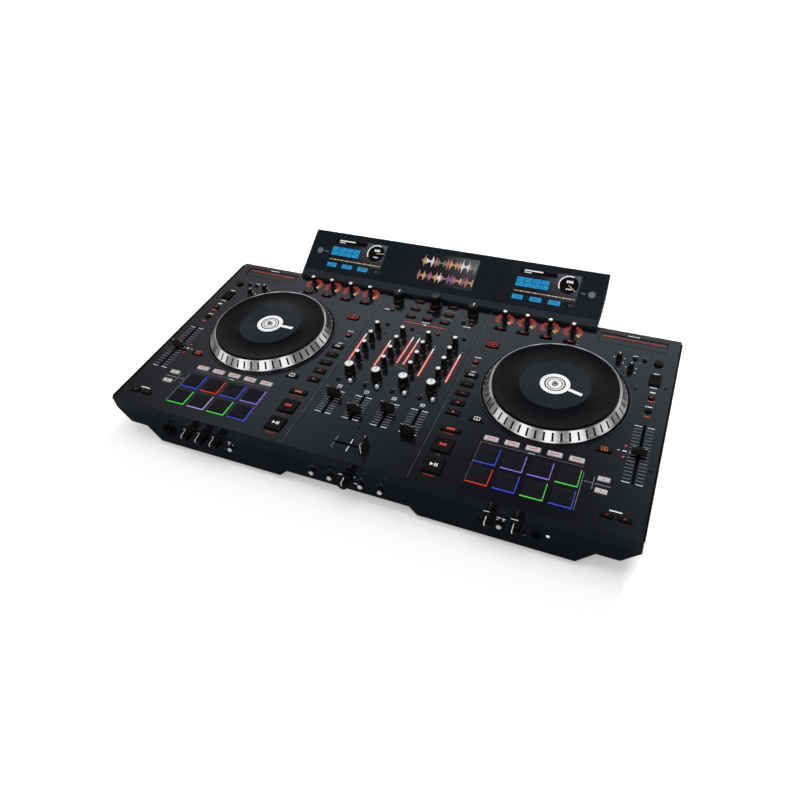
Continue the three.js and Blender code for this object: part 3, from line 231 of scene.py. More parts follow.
def moulding(name, dark, light, rough, grain_size, relief, specular=0.5, tint=WHITE, metallic=0.0):
    """Moulded or painted stuff: two close tones, a fine grain in mm, and roughness that varies a little."""
    tree = Tree(bpy.data.materials.new(name))
    broad, fine = grain(tree, 14.0, 4.0), grain(tree, 1.0 / (grain_size * MM), 2.0, 0.3, 0.7)
    more = {"Specular IOR Level": specular, "Specular Tint": tint, "Metallic": metallic}
    return dress(tree, broad, fine, (dark, light), (rough - 0.06, rough + 0.06), 0.25, relief, more)


def softened(node, width, segments, material):
    """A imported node's own shape, its doubles merged and its flat faces joined, with bevelled edges."""
    source = frame["nodes"][node]
    shape = bmesh.new()
    shape.from_mesh(source.data)
    bmesh.ops.remove_doubles(shape, verts=shape.verts, dist=0.002 * MM)
    flat = math.radians(0.8)
    bmesh.ops.dissolve_limit(
        shape, angle_limit=flat, verts=shape.verts, edges=shape.edges, use_dissolve_boundaries=False
    )
    mesh = bpy.data.meshes.new(node + "_soft")
    shape.to_mesh(mesh)
    shape.free()
    mesh.materials.clear()
    mesh.materials.append(material)
    piece = bpy.data.objects.new(node + "_soft", mesh)
    scene.collection.objects.link(piece)
    bevel = piece.modifiers.new("edges", "BEVEL")
    bevel.width = width * MM
    bevel.segments = segments
    bevel.limit_method = "ANGLE"
    bevel.angle_limit = math.radians(28)
    bevel.use_clamp_overlap = True
    bevel.harden_normals = False
    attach(piece, source["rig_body"])
    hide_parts(node)


cool = (0.76, 0.88, 1.0, 1)
plate_tones = (0.0024, 0.0028, 0.0036), (0.0032, 0.0037, 0.0046)
tray_tones = (0.0022, 0.0026, 0.0033), (0.003, 0.0036, 0.0044)
display_tones = (0.014, 0.0165, 0.0205), (0.0175, 0.0205, 0.025)
panel_tones = (0.0078, 0.0105, 0.013), (0.0095, 0.0125, 0.0155)
plate_paint = moulding("plate_paint", *plate_tones, 0.19, 0.35, 0.004, 0.5, cool)
tray_moulding = moulding("tray_moulding", *tray_tones, 0.3, 0.5, 0.01, 0.5, cool)
display_moulding = moulding("display_moulding", *display_tones, 0.45, 0.35, 0.02, 0.35, cool)
panel_gloss = moulding("panel_gloss", *panel_tones, 0.22, 0.35, 0.003, 0.5, cool)
for node in ("left_deck_plate", "mixer_plate", "right_deck_plate"):
    softened(node, 0.7, 2, plate_paint)
for node in ("base_tray", "front_fascia", "rear_panel"):
    softened(node, 0.6, 2, tray_moulding)
softened("display_housing", 1.0, 2, display_moulding)
softened("display_panel", 0.3, 1, panel_gloss)

# Shapes: every new piece is rings of points on a grid, worked out in millimetres in the plates' frame
# and placed by put(). Four round rubber feet are the first of them.
sides = (("left", -1), ("right", 1))


def rounded(width, length, corner, steps=6):
    """Outline of a rectangle with round corners: centre of each corner plus corner times (cos, sin)."""
    turn = np.linspace(0, np.pi / 2, steps) + np.arange(4)[:, None] * np.pi / 2
    x = (width / 2 - corner) * np.array([1, -1, -1, 1])[:, None] + corner * np.cos(turn)
    y = (length / 2 - corner) * np.array([1, 1, -1, -1])[:, None] + corner * np.sin(turn)
    return np.column_stack((x.ravel(), y.ravel()))


def stacked(rings, closed=False):
    """A shell through rings of equally many points, lowest first: flat ends, or its last ring joined to its
    first."""
    rings = np.asarray(rings, float)
    count, around = rings.shape[:2]
    here = np.arange(around)
    ahead = (here + 1) % around
    low = np.arange(count if closed else count - 1)[:, None] * around
    high = (low + around) % (count * around)
    faces = np.stack((low + here, low + ahead, high + ahead, high + here), -1).reshape(-1, 4).tolist()
    if not closed:
        faces += [here[::-1].tolist(), (here + (count - 1) * around).tolist()]
    return rings.reshape(-1, 3), faces


def raised(rows, closed=False):
    """A shell through flat outlines, each given with its height."""
    return stacked([np.column_stack((outline, np.full(len(outline), height))) for outline, height in rows], closed)


def slab(width, length, corner, levels, steps=6):
    """A rounded block: at each (height, inset) level its outline is drawn in by the inset."""
    return raised([(rounded(width - 2 * inset, length - 2 * inset, max(corner - inset, 0.05), steps), height)
                   for height, inset in levels])


def turned(profile, sides=48, flutes=0, depth=0.0, closed=False):
    """A revolved profile of (radius, height, share) rows. Where share is above 0, the radius is drawn in by
    depth times share times a wave that goes round flutes times."""
    rows = np.array([(*row, 0.0)[:3] for row in profile], float)
    angle = np.arange(sides) * 2 * np.pi / sides
    wave = depth * np.clip(0.5 - 0.8 * np.cos(flutes * angle), 0, 1) if flutes else 0 * angle
    radius = rows[:, :1] - rows[:, 2:] * wave
    height = np.broadcast_to(rows[:, 1:2], radius.shape)
    return stacked(np.stack((radius * np.cos(angle), radius * np.sin(angle), height), -1), closed)


def moved(shape, x=0.0, y=0.0, z=0.0, turn=0.0):
    """The shape turned about +Z by turn degrees, then moved."""
    points, faces = shape
    c, s = math.cos(math.radians(turn)), math.sin(math.radians(turn))
    return points @ np.array([[c, s, 0], [-s, c, 0], [0, 0, 1]]) + (x, y, z), faces


def joined(shapes):
    """Several shapes as one."""
    points, faces, start = [], [], 0
    for some, loops in shapes:
        points.append(some)
        faces += [[index + start for index in loop] for loop in loops]
        start += len(some)
    return np.vstack(points), faces


def put(name, shape, material, body, slot, *nodes, sharp=35.0, place=at):
    """A piece from a shape or several: placed, smooth but for edges over sharp degrees, and riding on its
    body. It replaces the nodes named."""
    points, faces = joined(shape) if isinstance(shape, list) else shape
    mesh = bpy.data.meshes.new(name)
    mesh.from_pydata(place(points).tolist(), [], faces)
    mesh.shade_smooth()
    mesh.set_sharp_from_angle(angle=math.radians(sharp))
    mesh.materials.append(material)
    piece = bpy.data.objects.new(name, mesh)
    scene.collection.objects.link(piece)
    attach(piece, body)
    if nodes:
        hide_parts(*nodes)
    return piece


rubber = moulding("rubber", (0.010, 0.0105, 0.0115), (0.014, 0.0145, 0.0155), 0.72, 0.25, 0.02, 0.3)
foot = turned([(11.6, -75.98), (12.6, -75.4), (13.15, -74), (13.15, -66.5), (12.4, -66.1)])
feet = [moved(foot, sign * 286.3, y) for side, sign in sides for y in (34.0, 335.9)]
put("feet", feet, rubber, "casing", "pad_rubber")

# The platters: a cast dish whose silver cone has a row of slots, a spindle, and a record with a plain
# badge and a position mark. They turn together, on the motor under the plate.
platter_x, platter_y = 228.3, 211.8
slot_count = 53
slot_pitch = 2 * np.pi / slot_count
slot_depth = 1.3
outward, upward = 0.8, 0.6  # the cone's normal


def ringed(name, tones, roughness, stretch, detail, band, strength, more):
    """Turned metal or pressed vinyl: fine rings, stretched along the turning, vary the tone, the roughness and
    the bump, and draw the highlight out along them."""
    tree = Tree(bpy.data.materials.new(name))
    stretched = {"Vector": tree.add("UVMap", uv_map="around"), "Scale": stretch}
    inputs = {"Vector": tree.add("Mapping", stretched, "Vector"), "Scale": 1.0, "Detail": detail}
    shade = tree.spread(tree.add("TexNoise", inputs, "Fac"), 0.5 - band, 0.5 + band, kind="LINEAR")
    tangent = tree.add("Tangent", output="Tangent", direction_type="UV_MAP", uv_map="around")
    more = {"Tangent": tangent, "Anisotropic Rotation": 0.25, **more}
    return dress(tree, shade, shade, tones, roughness, strength, 0.02, more)


def wrap_round(piece, centre_x, centre_y):
    """A UV map named around: u is the angle about the platter's axis, v the distance from it in decimetres."""
    mesh = piece.data
    corners = np.empty(len(mesh.loops), int)
    mesh.loops.foreach_get("vertex_index", corners)
    flat = np.empty(len(mesh.vertices) * 3)
    mesh.vertices.foreach_get("co", flat)
    offset = flat.reshape(-1, 3)[corners] - at((centre_x, centre_y, 0))
    angle = np.arctan2(offset[:, 1], offset[:, 0]) / (2 * np.pi)
    starts = np.empty(len(mesh.polygons), int)
    mesh.polygons.foreach_get("loop_start", starts)
    first = np.repeat(angle[starts], np.diff(np.append(starts, len(corners))))
    angle = angle - np.round(angle - first)
    reach = np.hypot(offset[:, 0], offset[:, 1]) * 10
    layer = mesh.uv_layers.new(name="around")
    layer.data.foreach_set("uv", np.column_stack((angle, reach)).ravel())


def ring_cone():
    """The cone between its upright skirt and its top edge. Going round, each of the slots takes a share of the
    pitch: there the grid's middle rows sink by the slot's depth along the cone's normal."""
    steps = np.array([0.0, 0.38, 0.395, 0.605, 0.62])
    angle = (slot_pitch * (np.arange(slot_count)[:, None] + steps)).ravel()
    in_slot = np.tile([0, 0, 1, 1, 0], slot_count)
    rows = [(94.5, -4, 0), (98.6, -4, 0), (99.05, -3.4, 0), (99.05, 1.9, 0), (98.8, 2.6, 0), (97.9, 3.8, 0),
            (97.6, 4.2, 1), (91.2, 12.9, 1), (90.9, 13.3, 0), (90.0, 14.6, 0), (89.4, 15.2, 0), (88.6, 15.35, 0),
            (88.3, 15.0, 0), (88.3, 12.9, 0), (87.6, 12.9, 0)]
    radius, height, open_row = np.array(rows).T[:, :, None]
    sink = slot_depth * in_slot * open_row
    radius = radius - sink * outward
    height = height - sink * upward + 0 * angle
    return stacked(np.stack((radius * np.cos(angle), radius * np.sin(angle), height), -1), closed=True)


def flat_ring(inner, outer, low, high, sides):
    """A flat ring of square section."""
    return turned([(inner, low), (outer, low), (outer, high), (inner, high)], sides, closed=True)


def slot_floors():
    """One thin dark plate in each slot, just above the slot's floor and inside its edges."""
    angle = slot_pitch * (np.arange(slot_count) + 0.5)
    half_turn = 0.1064 * slot_pitch
    corners = []
    for radius, height in ((97.75, 4.05), (91.1, 13.05)):
        for turn in (angle - half_turn, angle + half_turn):
            for out in (-slot_depth, 0.25 - slot_depth):
                reach = radius + out * outward
                corners.append(np.stack(
                    (reach * np.cos(turn), reach * np.sin(turn), height + out * upward + 0 * turn), -1))
    points = np.stack(corners, 1).reshape(-1, 3)
    box = np.array([[0, 2, 3, 1], [4, 5, 7, 6], [0, 1, 5, 4], [2, 6, 7, 3], [1, 3, 7, 5], [0, 4, 6, 2]])
    return points, (np.arange(slot_count)[:, None, None] * 8 + box).reshape(-1, 4).tolist()


def platter_piece(side, name, shapes, material, slot, *nodes, sharp=50.0):
    """A piece of one platter, moved to its axis. Its UV map goes round that axis where its material needs it."""
    centre_x = dict(sides)[side] * platter_x
    shapes = [moved(shape, centre_x, platter_y) for shape in shapes]
    piece = put(f"{side}_{name}", shapes, material, f"{side}_platter", slot, *nodes, sharp=sharp)
    if material in (ring_metal, vinyl, label_card):
        wrap_round(piece, centre_x, platter_y)


ring_tones = (0.56, 0.57, 0.585), (0.74, 0.75, 0.765)
ring_metal = ringed("ring_metal", ring_tones, (0.15, 0.26), (3.0, 260.0, 1.0), 2.0, 0.15, 0.12,
                    {"Metallic": 1.0, "Specular Tint": WHITE, "Anisotropic": 0.7})
slot_black = moulding("slot_black", (0.001, 0.001, 0.0013), (0.0018, 0.0018, 0.0022), 0.5, 0.3, 0.01, 0.06)
vinyl_tones = (0.0017, 0.0023, 0.0032), (0.0027, 0.0035, 0.0047)
vinyl = ringed("vinyl", vinyl_tones, (0.25, 0.35), (0.6, 220.0, 1.0), 1.0, 0.2, 0.2,
               {"Specular IOR Level": 0.09, "Anisotropic": 0.85})
label_tones = (0.0105, 0.0128, 0.016), (0.0135, 0.0163, 0.02)
label_card = ringed("label_card", label_tones, (0.37, 0.47), (0.6, 40.0, 1.0), 1.0, 0.2, 0.2,
                    {"Specular IOR Level": 0.1, "Anisotropic": 0.85})
white_print = moulding("white_print", (0.70, 0.71, 0.72), (0.80, 0.81, 0.82), 0.5, 0.3, 0.005, 0.3)
steel = moulding("steel", (0.42, 0.425, 0.43), (0.55, 0.555, 0.56), 0.3, 0.2, 0.004, metallic=1.0)

record_foot, record_top = 13.5, 16.1
record_profile = [(3.9, record_foot), (85.8, record_foot), (86.6, 13.8), (86.8, 14.3), (86.8, 15.2), (86.55, 15.9),
                  (86.0, record_top), (84.6, record_top), (84.2, 15.93), (51.6, 15.93), (51.2, record_top),
                  (3.9, record_top)]
label_profile = [(3.95, 16.0), (49.0, 16.0), (49.0, 16.18), (48.7, 16.22), (3.95, 16.22)]
badge_top = 16.28
badge = [flat_ring(14.6, 20.6, record_top, badge_top, 64), flat_ring(4.4, 9.2, record_top, badge_top, 48),
         flat_ring(10.6, 12.6, record_top, 16.27, 48),
         moved(slab(20.0, 5.2, 0.4, [(record_top, 0), (16.3, 0)]), 31.0, 0)]
spindle_profile = [(3.6, 9.0), (3.6, 18.2), (3.35, 18.9), (2.7, 19.35), (1.6, 19.5), (0.5, 19.5)]
bed_profile = [(14.0, -5.0), (14.0, 10.2), (88.5, 10.2), (88.5, 13.2), (3.0, 13.2), (3.0, -5.0)]
mark_turns = {"left": 0.0, "right": -16.0}
for side, sign in sides:
    dish = [ring_cone(), turned(bed_profile, closed=True)]
    platter_piece(side, "platter_ring", dish, ring_metal, "ring_silver", f"{side}_platter", sharp=28)
    platter_piece(side, "ring_slots", [slot_floors()], slot_black, "key_dark", sharp=35)
    disc = [turned(record_profile, 160, closed=True)]
    platter_piece(side, "record", disc, vinyl, "record_vinyl", f"{side}_record")
    platter_piece(side, "record_label", [turned(label_profile, 96, closed=True)], label_card, "record_vinyl")
    marks = [moved(shape, turn=mark_turns[side]) for shape in badge]
    platter_piece(side, "record_badge", marks, white_print, "record_vinyl")
    platter_piece(side, "spindle", [turned(spindle_profile, 40)], steel, "motor_steel", sharp=35)

# The wells round the platters: a raised bead moulded in each plate keeps the platter's edge off the hand.
# It is painted with the plate.
well_profile = [(101.15, -2.8), (104.2, -2.8), (104.62, 0.2), (104.5, 0.62), (104.1, 0.88), (101.8, 0.88),
                (101.3, 0.6), (101.15, 0.1)]
wells = [moved(turned(well_profile, 144, closed=True), sign * platter_x, platter_y) for side, sign in sides]
put("well_beads", wells, plate_paint, "casing", "charcoal_plate", sharp=50)

# Pads: a bank of eight soft rubber squares on each deck, moulded in one piece that slides down in its
# holes. A light guide shows as a thin line along each pad's front and right edges.


def glowing(name, low, high, strength, size=4.0, painted=False):
    """A lit plastic: its light wanders between two near tones, as it does behind a frosted window. A painted
    one has that tone in daylight too. The white print and the fader caps' dashes also glow with it, as painted
    light, though nothing lights them."""
    tree = Tree(bpy.data.materials.new(name))
    amount = grain(tree, 1.0 / (size * MM), 1.0, 0.35, 0.65)
    tone = tree.mix(amount, (*low, 1), (*high, 1))
    unlit = {"Base Color": tone}
    if not painted:
        unlit = {"Base Color": (0.01, 0.01, 0.01, 1), "Specular IOR Level": 0.2}
    tree.feed(tree.shader, {"Emission Color": tone, "Emission Strength": strength, "Roughness": 0.4, **unlit})
    return tree.owner


pad_top = moulding("pad_rubber", (0.0045, 0.005, 0.0068), (0.006, 0.0068, 0.0088), 0.6, 0.3, 0.02, 0.12)
pad_tones = {
    "blue": ((0.035, 0.06, 0.62), (0.06, 0.09, 0.78)),
    "red": ((0.62, 0.025, 0.012), (0.8, 0.045, 0.02)),
    "violet": ((0.24, 0.12, 0.66), (0.34, 0.2, 0.8)),
    "green": ((0.05, 0.6, 0.05), (0.09, 0.78, 0.09)),
    "pale": ((0.36, 0.28, 0.62), (0.46, 0.38, 0.74)),
}
pad_lights = {colour: glowing(f"{colour}_light", *tones, 1.0) for colour, tones in pad_tones.items()}
pad_size, pad_pitch, pad_rise, first_pad_y = 28.0, 34.6, 1.2, 34.5
guide_width, guide_inset = 0.9, 0.42
pad_rows = {
    "left": (("green", "pale", "green", "blue"), ("blue", "red", "blue", "violet")),
    "right": (("red", "blue", "green", "blue"), ("blue", "violet", "violet", "green")),
}
cap_foot = -4.2
pad_levels = [(cap_foot, 0.0), (0.75, 0.0), (1.05, 0.12), (pad_rise, 0.45), (1.17, 6.0), (1.12, 11.0)]
guide_levels = [(0.2, 0), (1.28, 0), (1.36, 0.1)]
for side, sign in sides:
    squares, lights = [], {}
    for row, colours in enumerate(pad_rows[side]):
        for column, colour in enumerate(colours):
            x, y = sign * platter_x + (column - 1.5) * pad_pitch, first_pad_y + row * pad_pitch
            squares.append(moved(slab(pad_size, pad_size, 0.9, pad_levels), x, y))
            reach = pad_size / 2 - guide_inset
            front = moved(slab(pad_size, guide_width, 0.2, guide_levels, 3), x, y - reach)
            edge = moved(slab(guide_width, pad_size, 0.2, guide_levels, 3), x + reach, y)
            lights.setdefault(colour, []).extend((front, edge))
    put(f"{side}_pad_bank", squares, pad_top, f"{side}_pads", "pad_rubber", f"{side}_pads")
    for colour, lines in lights.items():
        put(f"{side}_pad_lines_{colour}", lines, pad_lights[colour], f"{side}_pads", "pad_rubber")

# Keys of the decks: hard dark caps that all stand on one sheet per deck, with their marks lit from
# below. The pad-mode keys and the two beside the pads are frosted, and so pale.
key_plastic = moulding("key_plastic", (0.0018, 0.002, 0.0026), (0.0028, 0.0031, 0.004), 0.4, 0.3, 0.012, 0.16)
key_gloss = moulding("key_gloss", (0.0008, 0.0008, 0.001), (0.0012, 0.0012, 0.0015), 0.16, 0.4, 0.004, 0.08)
key_frosted = glowing("key_frosted", (0.30, 0.285, 0.295), (0.36, 0.335, 0.345), 0.32, painted=True)
print_grey = moulding("grey_print", (0.16, 0.17, 0.18), (0.21, 0.22, 0.235), 0.55, 0.3, 0.004, 0.3)
# The white print glows as well as showing its colour. This is painted light, since nothing lights it from below.
print_white_painted_glow = glowing("white_mark", (0.66, 0.68, 0.70), (0.78, 0.80, 0.82), 0.35, painted=True)
lit_red = glowing("red_mark", (0.60, 0.035, 0.03), (0.76, 0.06, 0.045), 0.95, 2.0)
lit_dim = glowing("dim_red_mark", (0.26, 0.022, 0.02), (0.38, 0.034, 0.028), 0.8, 2.0)
lit_orange = glowing("orange_mark", (0.72, 0.10, 0.012), (0.9, 0.16, 0.025), 1.0, 2.0)
lit_white = glowing("lit_white_mark", (0.8, 0.8, 0.8), (0.95, 0.95, 0.95), 1.0, 2.0)


def cap_levels(rise, dish, dish_inset):
    """Levels of a cap: straight sides, a small round up to the top, and a slight dish."""
    return [(cap_foot, 0.0), (rise - 0.7, 0.0), (rise - 0.28, 0.12), (rise - 0.06, 0.42), (rise, 0.8),
            (rise - dish, dish_inset)]


def key_cap(x, y, width, length, rise, corner=0.8):
    """A square cap."""
    return moved(slab(width, length, corner, cap_levels(rise, 0.12, 2.6)), x, y)


def round_cap(x, y, radius, rise):
    """A round cap with the same rounded edge."""
    profile = [(radius, cap_foot), (radius, rise - 0.6), (radius - 0.15, rise - 0.2), (radius - 0.6, rise),
               (radius - 1.4, rise)]
    return moved(turned(profile, 40), x, y)


def lit_window(x, y, radius, rise):
    """The lit middle of a round cap."""
    return moved(turned([(radius, rise - 0.1), (radius, rise + 0.05), (radius - 0.4, rise + 0.1)], 32), x, y)


def slanted_cap(corners, rise):
    """A cap whose outline has the given corners, anticlockwise. Each level draws its sides in; each corner
    is rounded by the curve (1 - t) squared A + 2 t (1 - t) C + t squared B from one side's A to the next B."""
    corners = np.array(corners, float)
    t = np.linspace(0, 1, 5)[:, None]
    rows = []
    for height, inset in cap_levels(rise, 0.1, 2.2):
        along = np.roll(corners, -1, 0) - corners
        along /= np.linalg.norm(along, axis=1)[:, None]
        before = np.roll(along, 1, 0)
        bend = before[:, 0] * along[:, 1] - before[:, 1] * along[:, 0]
        tips = corners + inset * (along - before) / bend[:, None]
        reach = max(1.0 - 0.4 * inset, 0.2)
        curve = [(1 - t) ** 2 * (tip - reach * back) + 2 * t * (1 - t) * tip + t * t * (tip + reach * on)
                 for tip, back, on in zip(tips, before, along)]
        rows.append((np.vstack(curve), height))
    return raised(rows)


mark_foot, mark_top = -0.1, 0.07


def bar(x, y, width, length, z=0.0, turn=0.0):
    """A thin mark on a surface at height z."""
    return moved(slab(width, length, 0.12, [(z + mark_foot, 0), (z + mark_top, 0)], 2), x, y, 0, turn)


def bars(x, y, shifts, width, length, z=0.0):
    """Like marks in a row along X, shifted from x."""
    return [bar(x + shift, y, width, length, z) for shift in shifts]


def hoop(x, y, width, length, corner, line, z=0.0):
    """A thin rounded frame whose line lies inside width and length."""
    outer = rounded(width, length, corner)
    inner = rounded(width - 2 * line, length - 2 * line, max(corner - line, 0.1))
    low, high = z + mark_foot, z + mark_top
    return moved(raised([(outer, low), (outer, high), (inner, high), (inner, low)], True), x, y)


def arrow(x, y, size, z=0.0, turn=0.0):
    """A thin triangle that points along +X before it is turned."""
    angle = np.arange(3) * 2 * np.pi / 3
    flat = np.column_stack((np.cos(angle), np.sin(angle))) * size
    return moved(raised([(flat, z + mark_foot), (flat, z + mark_top)]), x, y, 0, turn)


def digit(text, height, x, y, z=0.0):
    """A plain number as flat letters with a little thickness, centred on x and y."""
    curve = bpy.data.curves.new("digit", "FONT")
    curve.body = text
    curve.size = height * 1.35
    curve.extrude = 0.08
    curve.resolution_u = 3
    curve.align_x = "CENTER"
    curve.align_y = "CENTER"
    holder = bpy.data.objects.new("digit", curve)
    scene.collection.objects.link(holder)
    bpy.context.view_layer.update()
    mesh = bpy.data.meshes.new_from_object(holder.evaluated_get(bpy.context.evaluated_depsgraph_get()))
    points = np.empty(len(mesh.vertices) * 3)
    mesh.vertices.foreach_get("co", points)
    points = points.reshape(-1, 3)
    middle = (points.min(0) + points.max(0)) / 2
    faces = [list(face.vertices) for face in mesh.polygons]
    bpy.data.objects.remove(holder)
    bpy.data.curves.remove(curve)
    bpy.data.meshes.remove(mesh)
    return points - middle + (x, y, z), faces


key_top = 2.0
play_x, play_y, cue_y, sync_y, play_top = 116.65, 31.5, 67.9, 98, 2.6
loop_x, loop_ys = 108.65, [209.6 - 20 * place for place in range(5)]
effect_xs, effect_key_y, effect_knob_y = [116.65 + 35.8 * place for place in range(4)], 327.1, 352.1
mode_xs, mode_y, mode_top = [platter_x + 28 * place for place in (-2, -1, 0, 1, 2)], 99.3, 1.2
link_x, link_y, link_top = 116.95, 284.8, 1.6
bend_xs, bend_y = (334.7, 355.3), 25.8
parameter_x, parameter_ys = 321.7, (78.3, 58.9)
layer_inner_x, layer_outer_x, layer_y = 143.66, 312.94, 127.16
pitch_x = 354.6
square_keys = [(play_x, y, 25, 25, play_top, 1.5) for y in (play_y, cue_y)] + [(play_x, sync_y, 27, 8, key_top, 0.8)]
square_keys += [(loop_x, y, 18, 9, key_top, 0.8) for y in loop_ys]
square_keys += [(x, effect_key_y, 17, 6, key_top, 0.8) for x in effect_xs]
square_keys += [(x, bend_y, 14, 6, key_top, 0.8) for x in bend_xs]
slanted_keys = [(layer_inner_x, [(-10, -4), (10, -4), (3, 4), (-10, 4)]),
                (layer_outer_x, [(-10, -4), (10, -4), (10, 4), (-3, 4)])]
frosted_keys = [(x, mode_y, 19, 8, mode_top, 0.7) for x in mode_xs]
frosted_keys += [(parameter_x, y, 15, 7, mode_top, 0.7) for y in parameter_ys]
round_keys = [(pitch_x, 314.8, 6.2, 3.0), (pitch_x, 215.3, 4.6, 2.4)]
round_keys += [(x, 316.8, 3.2, 2.0) for x in (321.6, 335.3)]
lit_round_keys = [(105.05, 240.3, 5.0, 2.0), (pitch_x, 241.3, 4.6, 2.4)]
window_shares = (0.66, 0.42)
deck_numbers = {"left": ("1", "3"), "right": ("2", "4")}

for side, sign in sides:
    body = f"{side}_deck_keys"
    caps = [key_cap(sign * x, *rest) for x, *rest in square_keys]
    caps += [round_cap(sign * x, *rest) for x, *rest in round_keys]
    for x, corners in slanted_keys:
        outline = corners if sign > 0 else [(-a, b) for a, b in corners[::-1]]
        caps.append(moved(slanted_cap(outline, key_top), sign * x, layer_y))
    oval = slab(19, 12, 5.9, [(cap_foot, 0), (1.0, 0), (1.45, 0.2), (link_top, 0.7)], 10)
    glossy = [moved(oval, sign * link_x, link_y), key_cap(sign * pitch_x, 277.8, 15, 22, 2.4, 0.6)]
    frosted = [key_cap(sign * x, *rest) for x, *rest in frosted_keys]
    lit_caps = [round_cap(sign * x, *rest) for x, *rest in lit_round_keys]
    windows = [lit_window(sign * x, y, share * radius, rise)
               for (x, y, radius, rise), share in zip(lit_round_keys, window_shares)]
    put(f"{side}_key_caps", caps, key_plastic, body, "key_dark", f"{side}_deck_keys")
    for name, shapes, material in (("gloss_caps", glossy, key_gloss), ("frosted_caps", frosted, key_frosted),
                                   ("round_caps", lit_caps, key_plastic), ("lit_windows", windows, lit_dim)):
        put(f"{side}_{name}", shapes, material, body, "key_dark")

    play, loop, link, parameter = (sign * x for x in (play_x, loop_x, link_x, parameter_x))
    white = [arrow(play - 3.0, play_y, 3.0, play_top), *bars(play, play_y, (2.0, 4.7), 1.5, 5.4, play_top)]
    red = bars(play, cue_y, (-3.4, 0, 3.4), 2.5, 4.0, play_top)
    orange = bars(play, sync_y, (-4.5, -1.5, 1.5, 4.5), 2.1, 3.2, key_top)
    white.append(hoop(loop, loop_ys[0], 7, 3.2, 0.4, 0.5, key_top))
    dim = [bar(loop, loop_ys[1], 2.6, 1.6, key_top), bar(loop, loop_ys[2], 3.0, 1.8, key_top)]
    red.append(bar(loop, loop_ys[3], 3.0, 2.0, key_top))
    orange.append(bar(loop, loop_ys[4], 3.0, 1.8, key_top))
    for x in effect_xs:
        red += bars(sign * x, effect_key_y, (-1.9, 0, 2.0), 1.4, 1.7, key_top)
    red.append(hoop(link, link_y, 16.4, 9.4, 4.6, 0.9, link_top))
    red += bars(link, link_y, (-3.0, -1.0, 1.0, 3.0), 1.5, 2.0, link_top + 0.02)
    for x in mode_xs:
        red += bars(sign * x, mode_y, (-4.4, -2.2, 0, 2.2, 4.4), 1.7, 1.6, mode_top)
    red += [arrow(parameter, y, 1.7, mode_top, turn) for y, turn in zip(parameter_ys, (0, 180))]
    red.append(bar(sign * bend_xs[1], bend_y, 2.6, 0.7, key_top))
    red.append(bar(sign * bend_xs[1], bend_y, 0.7, 2.6, key_top))
    red.append(bar(sign * bend_xs[0], bend_y, 2.6, 0.7, key_top))
    inner, outer = (sign * layer_inner_x, layer_y), (sign * layer_outer_x, layer_y)
    inner_number, outer_number = deck_numbers[side]
    number_z = key_top + 0.05
    white += [hoop(*inner, 8.4, 6.6, 0.9, 0.75, key_top), digit(inner_number, 4.0, *inner, number_z)]
    orange += [hoop(*outer, 8.4, 6.6, 0.9, 0.7, key_top), digit(outer_number, 4.2, *outer, number_z)]
    # Painted shadow round each square key: a dark frame on the plate stands for the shade in the gap between the key
    # and its hole.
    painted_hole_shadows = [hoop(sign * x, y, width + 2.8, length + 2.8, corner + 1.2, 1.2)
                 for x, y, width, length, rise, corner in square_keys]
    put(f"{side}_key_surrounds", painted_hole_shadows, slot_black, "casing", "charcoal_plate")
    for colour, shapes, material in (("white", white, lit_white), ("red", red, lit_red),
                                     ("orange", orange, lit_orange), ("dim", dim, lit_dim)):
        put(f"{side}_key_marks_{colour}", shapes, material, body, "key_dark")

# Keys of the mixer: eight browse keys with lit marks behind the cue keys, and small round ones beside
# the faders and the level knobs. They stand on the mixer's own sheet.
channel_xs = [-64.35, -21.45, 21.45, 64.35]
cue_row_y, assign_y = 285.1, 141.9
cue_offset, assign_offset = 7.4, 9.8
small_radius, small_top = 3.3, 1.6
browse_places = [(x, y) for y in (315.1, 335.9, 356.7) for x in (-29, 0, 29) if (x, y) != (0, 356.7)]
small_rounds = [(x + cue_offset, cue_row_y) for x in channel_xs] + [(x - assign_offset, assign_y) for x in channel_xs]
small_rounds += [(-64.5, 323.1), (57.8, 323.1), (71.2, 323.1)]
lit_rounds = [small_rounds[2], small_rounds[8], small_rounds[10]]
mixer_caps = [key_cap(x, y, 16, 6, key_top) for x, y in browse_places]
mixer_caps += [round_cap(x, y, small_radius, small_top) for x, y in small_rounds]
put("mixer_key_caps", mixer_caps, key_plastic, "mixer_keys", "key_dark", "mixer_keys")
windows = [lit_window(x, y, 2.0, small_top) for x, y in lit_rounds]
put("mixer_lit_windows", windows, lit_dim, "mixer_keys", "key_dark")
browse_marks = []
for x, y in browse_places:
    browse_marks += bars(x, y, (-3.0, 0, 3.0), 2.2, 1.9, key_top)
put("mixer_key_marks", browse_marks, lit_dim, "mixer_keys", "key_dark")

# Knobs: each is turned plastic on a shaft of the same black. Tone and effect knobs carry a domed white tip, filter
# knobs a wide white cap with a dark pointer, level knobs a white pointer, the browse knob a dark cap.
knob_black = moulding("knob_black", (0.0012, 0.0013, 0.0017), (0.002, 0.0022, 0.0027), 0.3, 0.3, 0.012, 0.3)
tip_white = moulding("tip_white", (0.62, 0.63, 0.64), (0.72, 0.73, 0.74), 0.22, 0.3, 0.004, 0.5)


def knob_body(skirt, skirt_height, foot, top, height, flutes, depth):
    """A skirt, a rounded step, and a grip that tapers to its top with flutes cut in it."""
    rise = 0.4
    step = rise + skirt_height
    profile = [(skirt - 0.4, rise), (skirt, rise + 0.3), (skirt, step - 0.35), (skirt - 0.35, step),
               (foot + 0.5, step + 0.15), (foot + 0.1, step + 0.5), (foot, step + 1.0, 0.6), (foot, step + 1.4, 1),
               (top, height - 1.2, 1), (top - 0.15, height - 0.6, 0.5), (top - 0.5, height - 0.15),
               (top - 1.0, height)]
    return turned(profile, flutes * 6, flutes, depth)


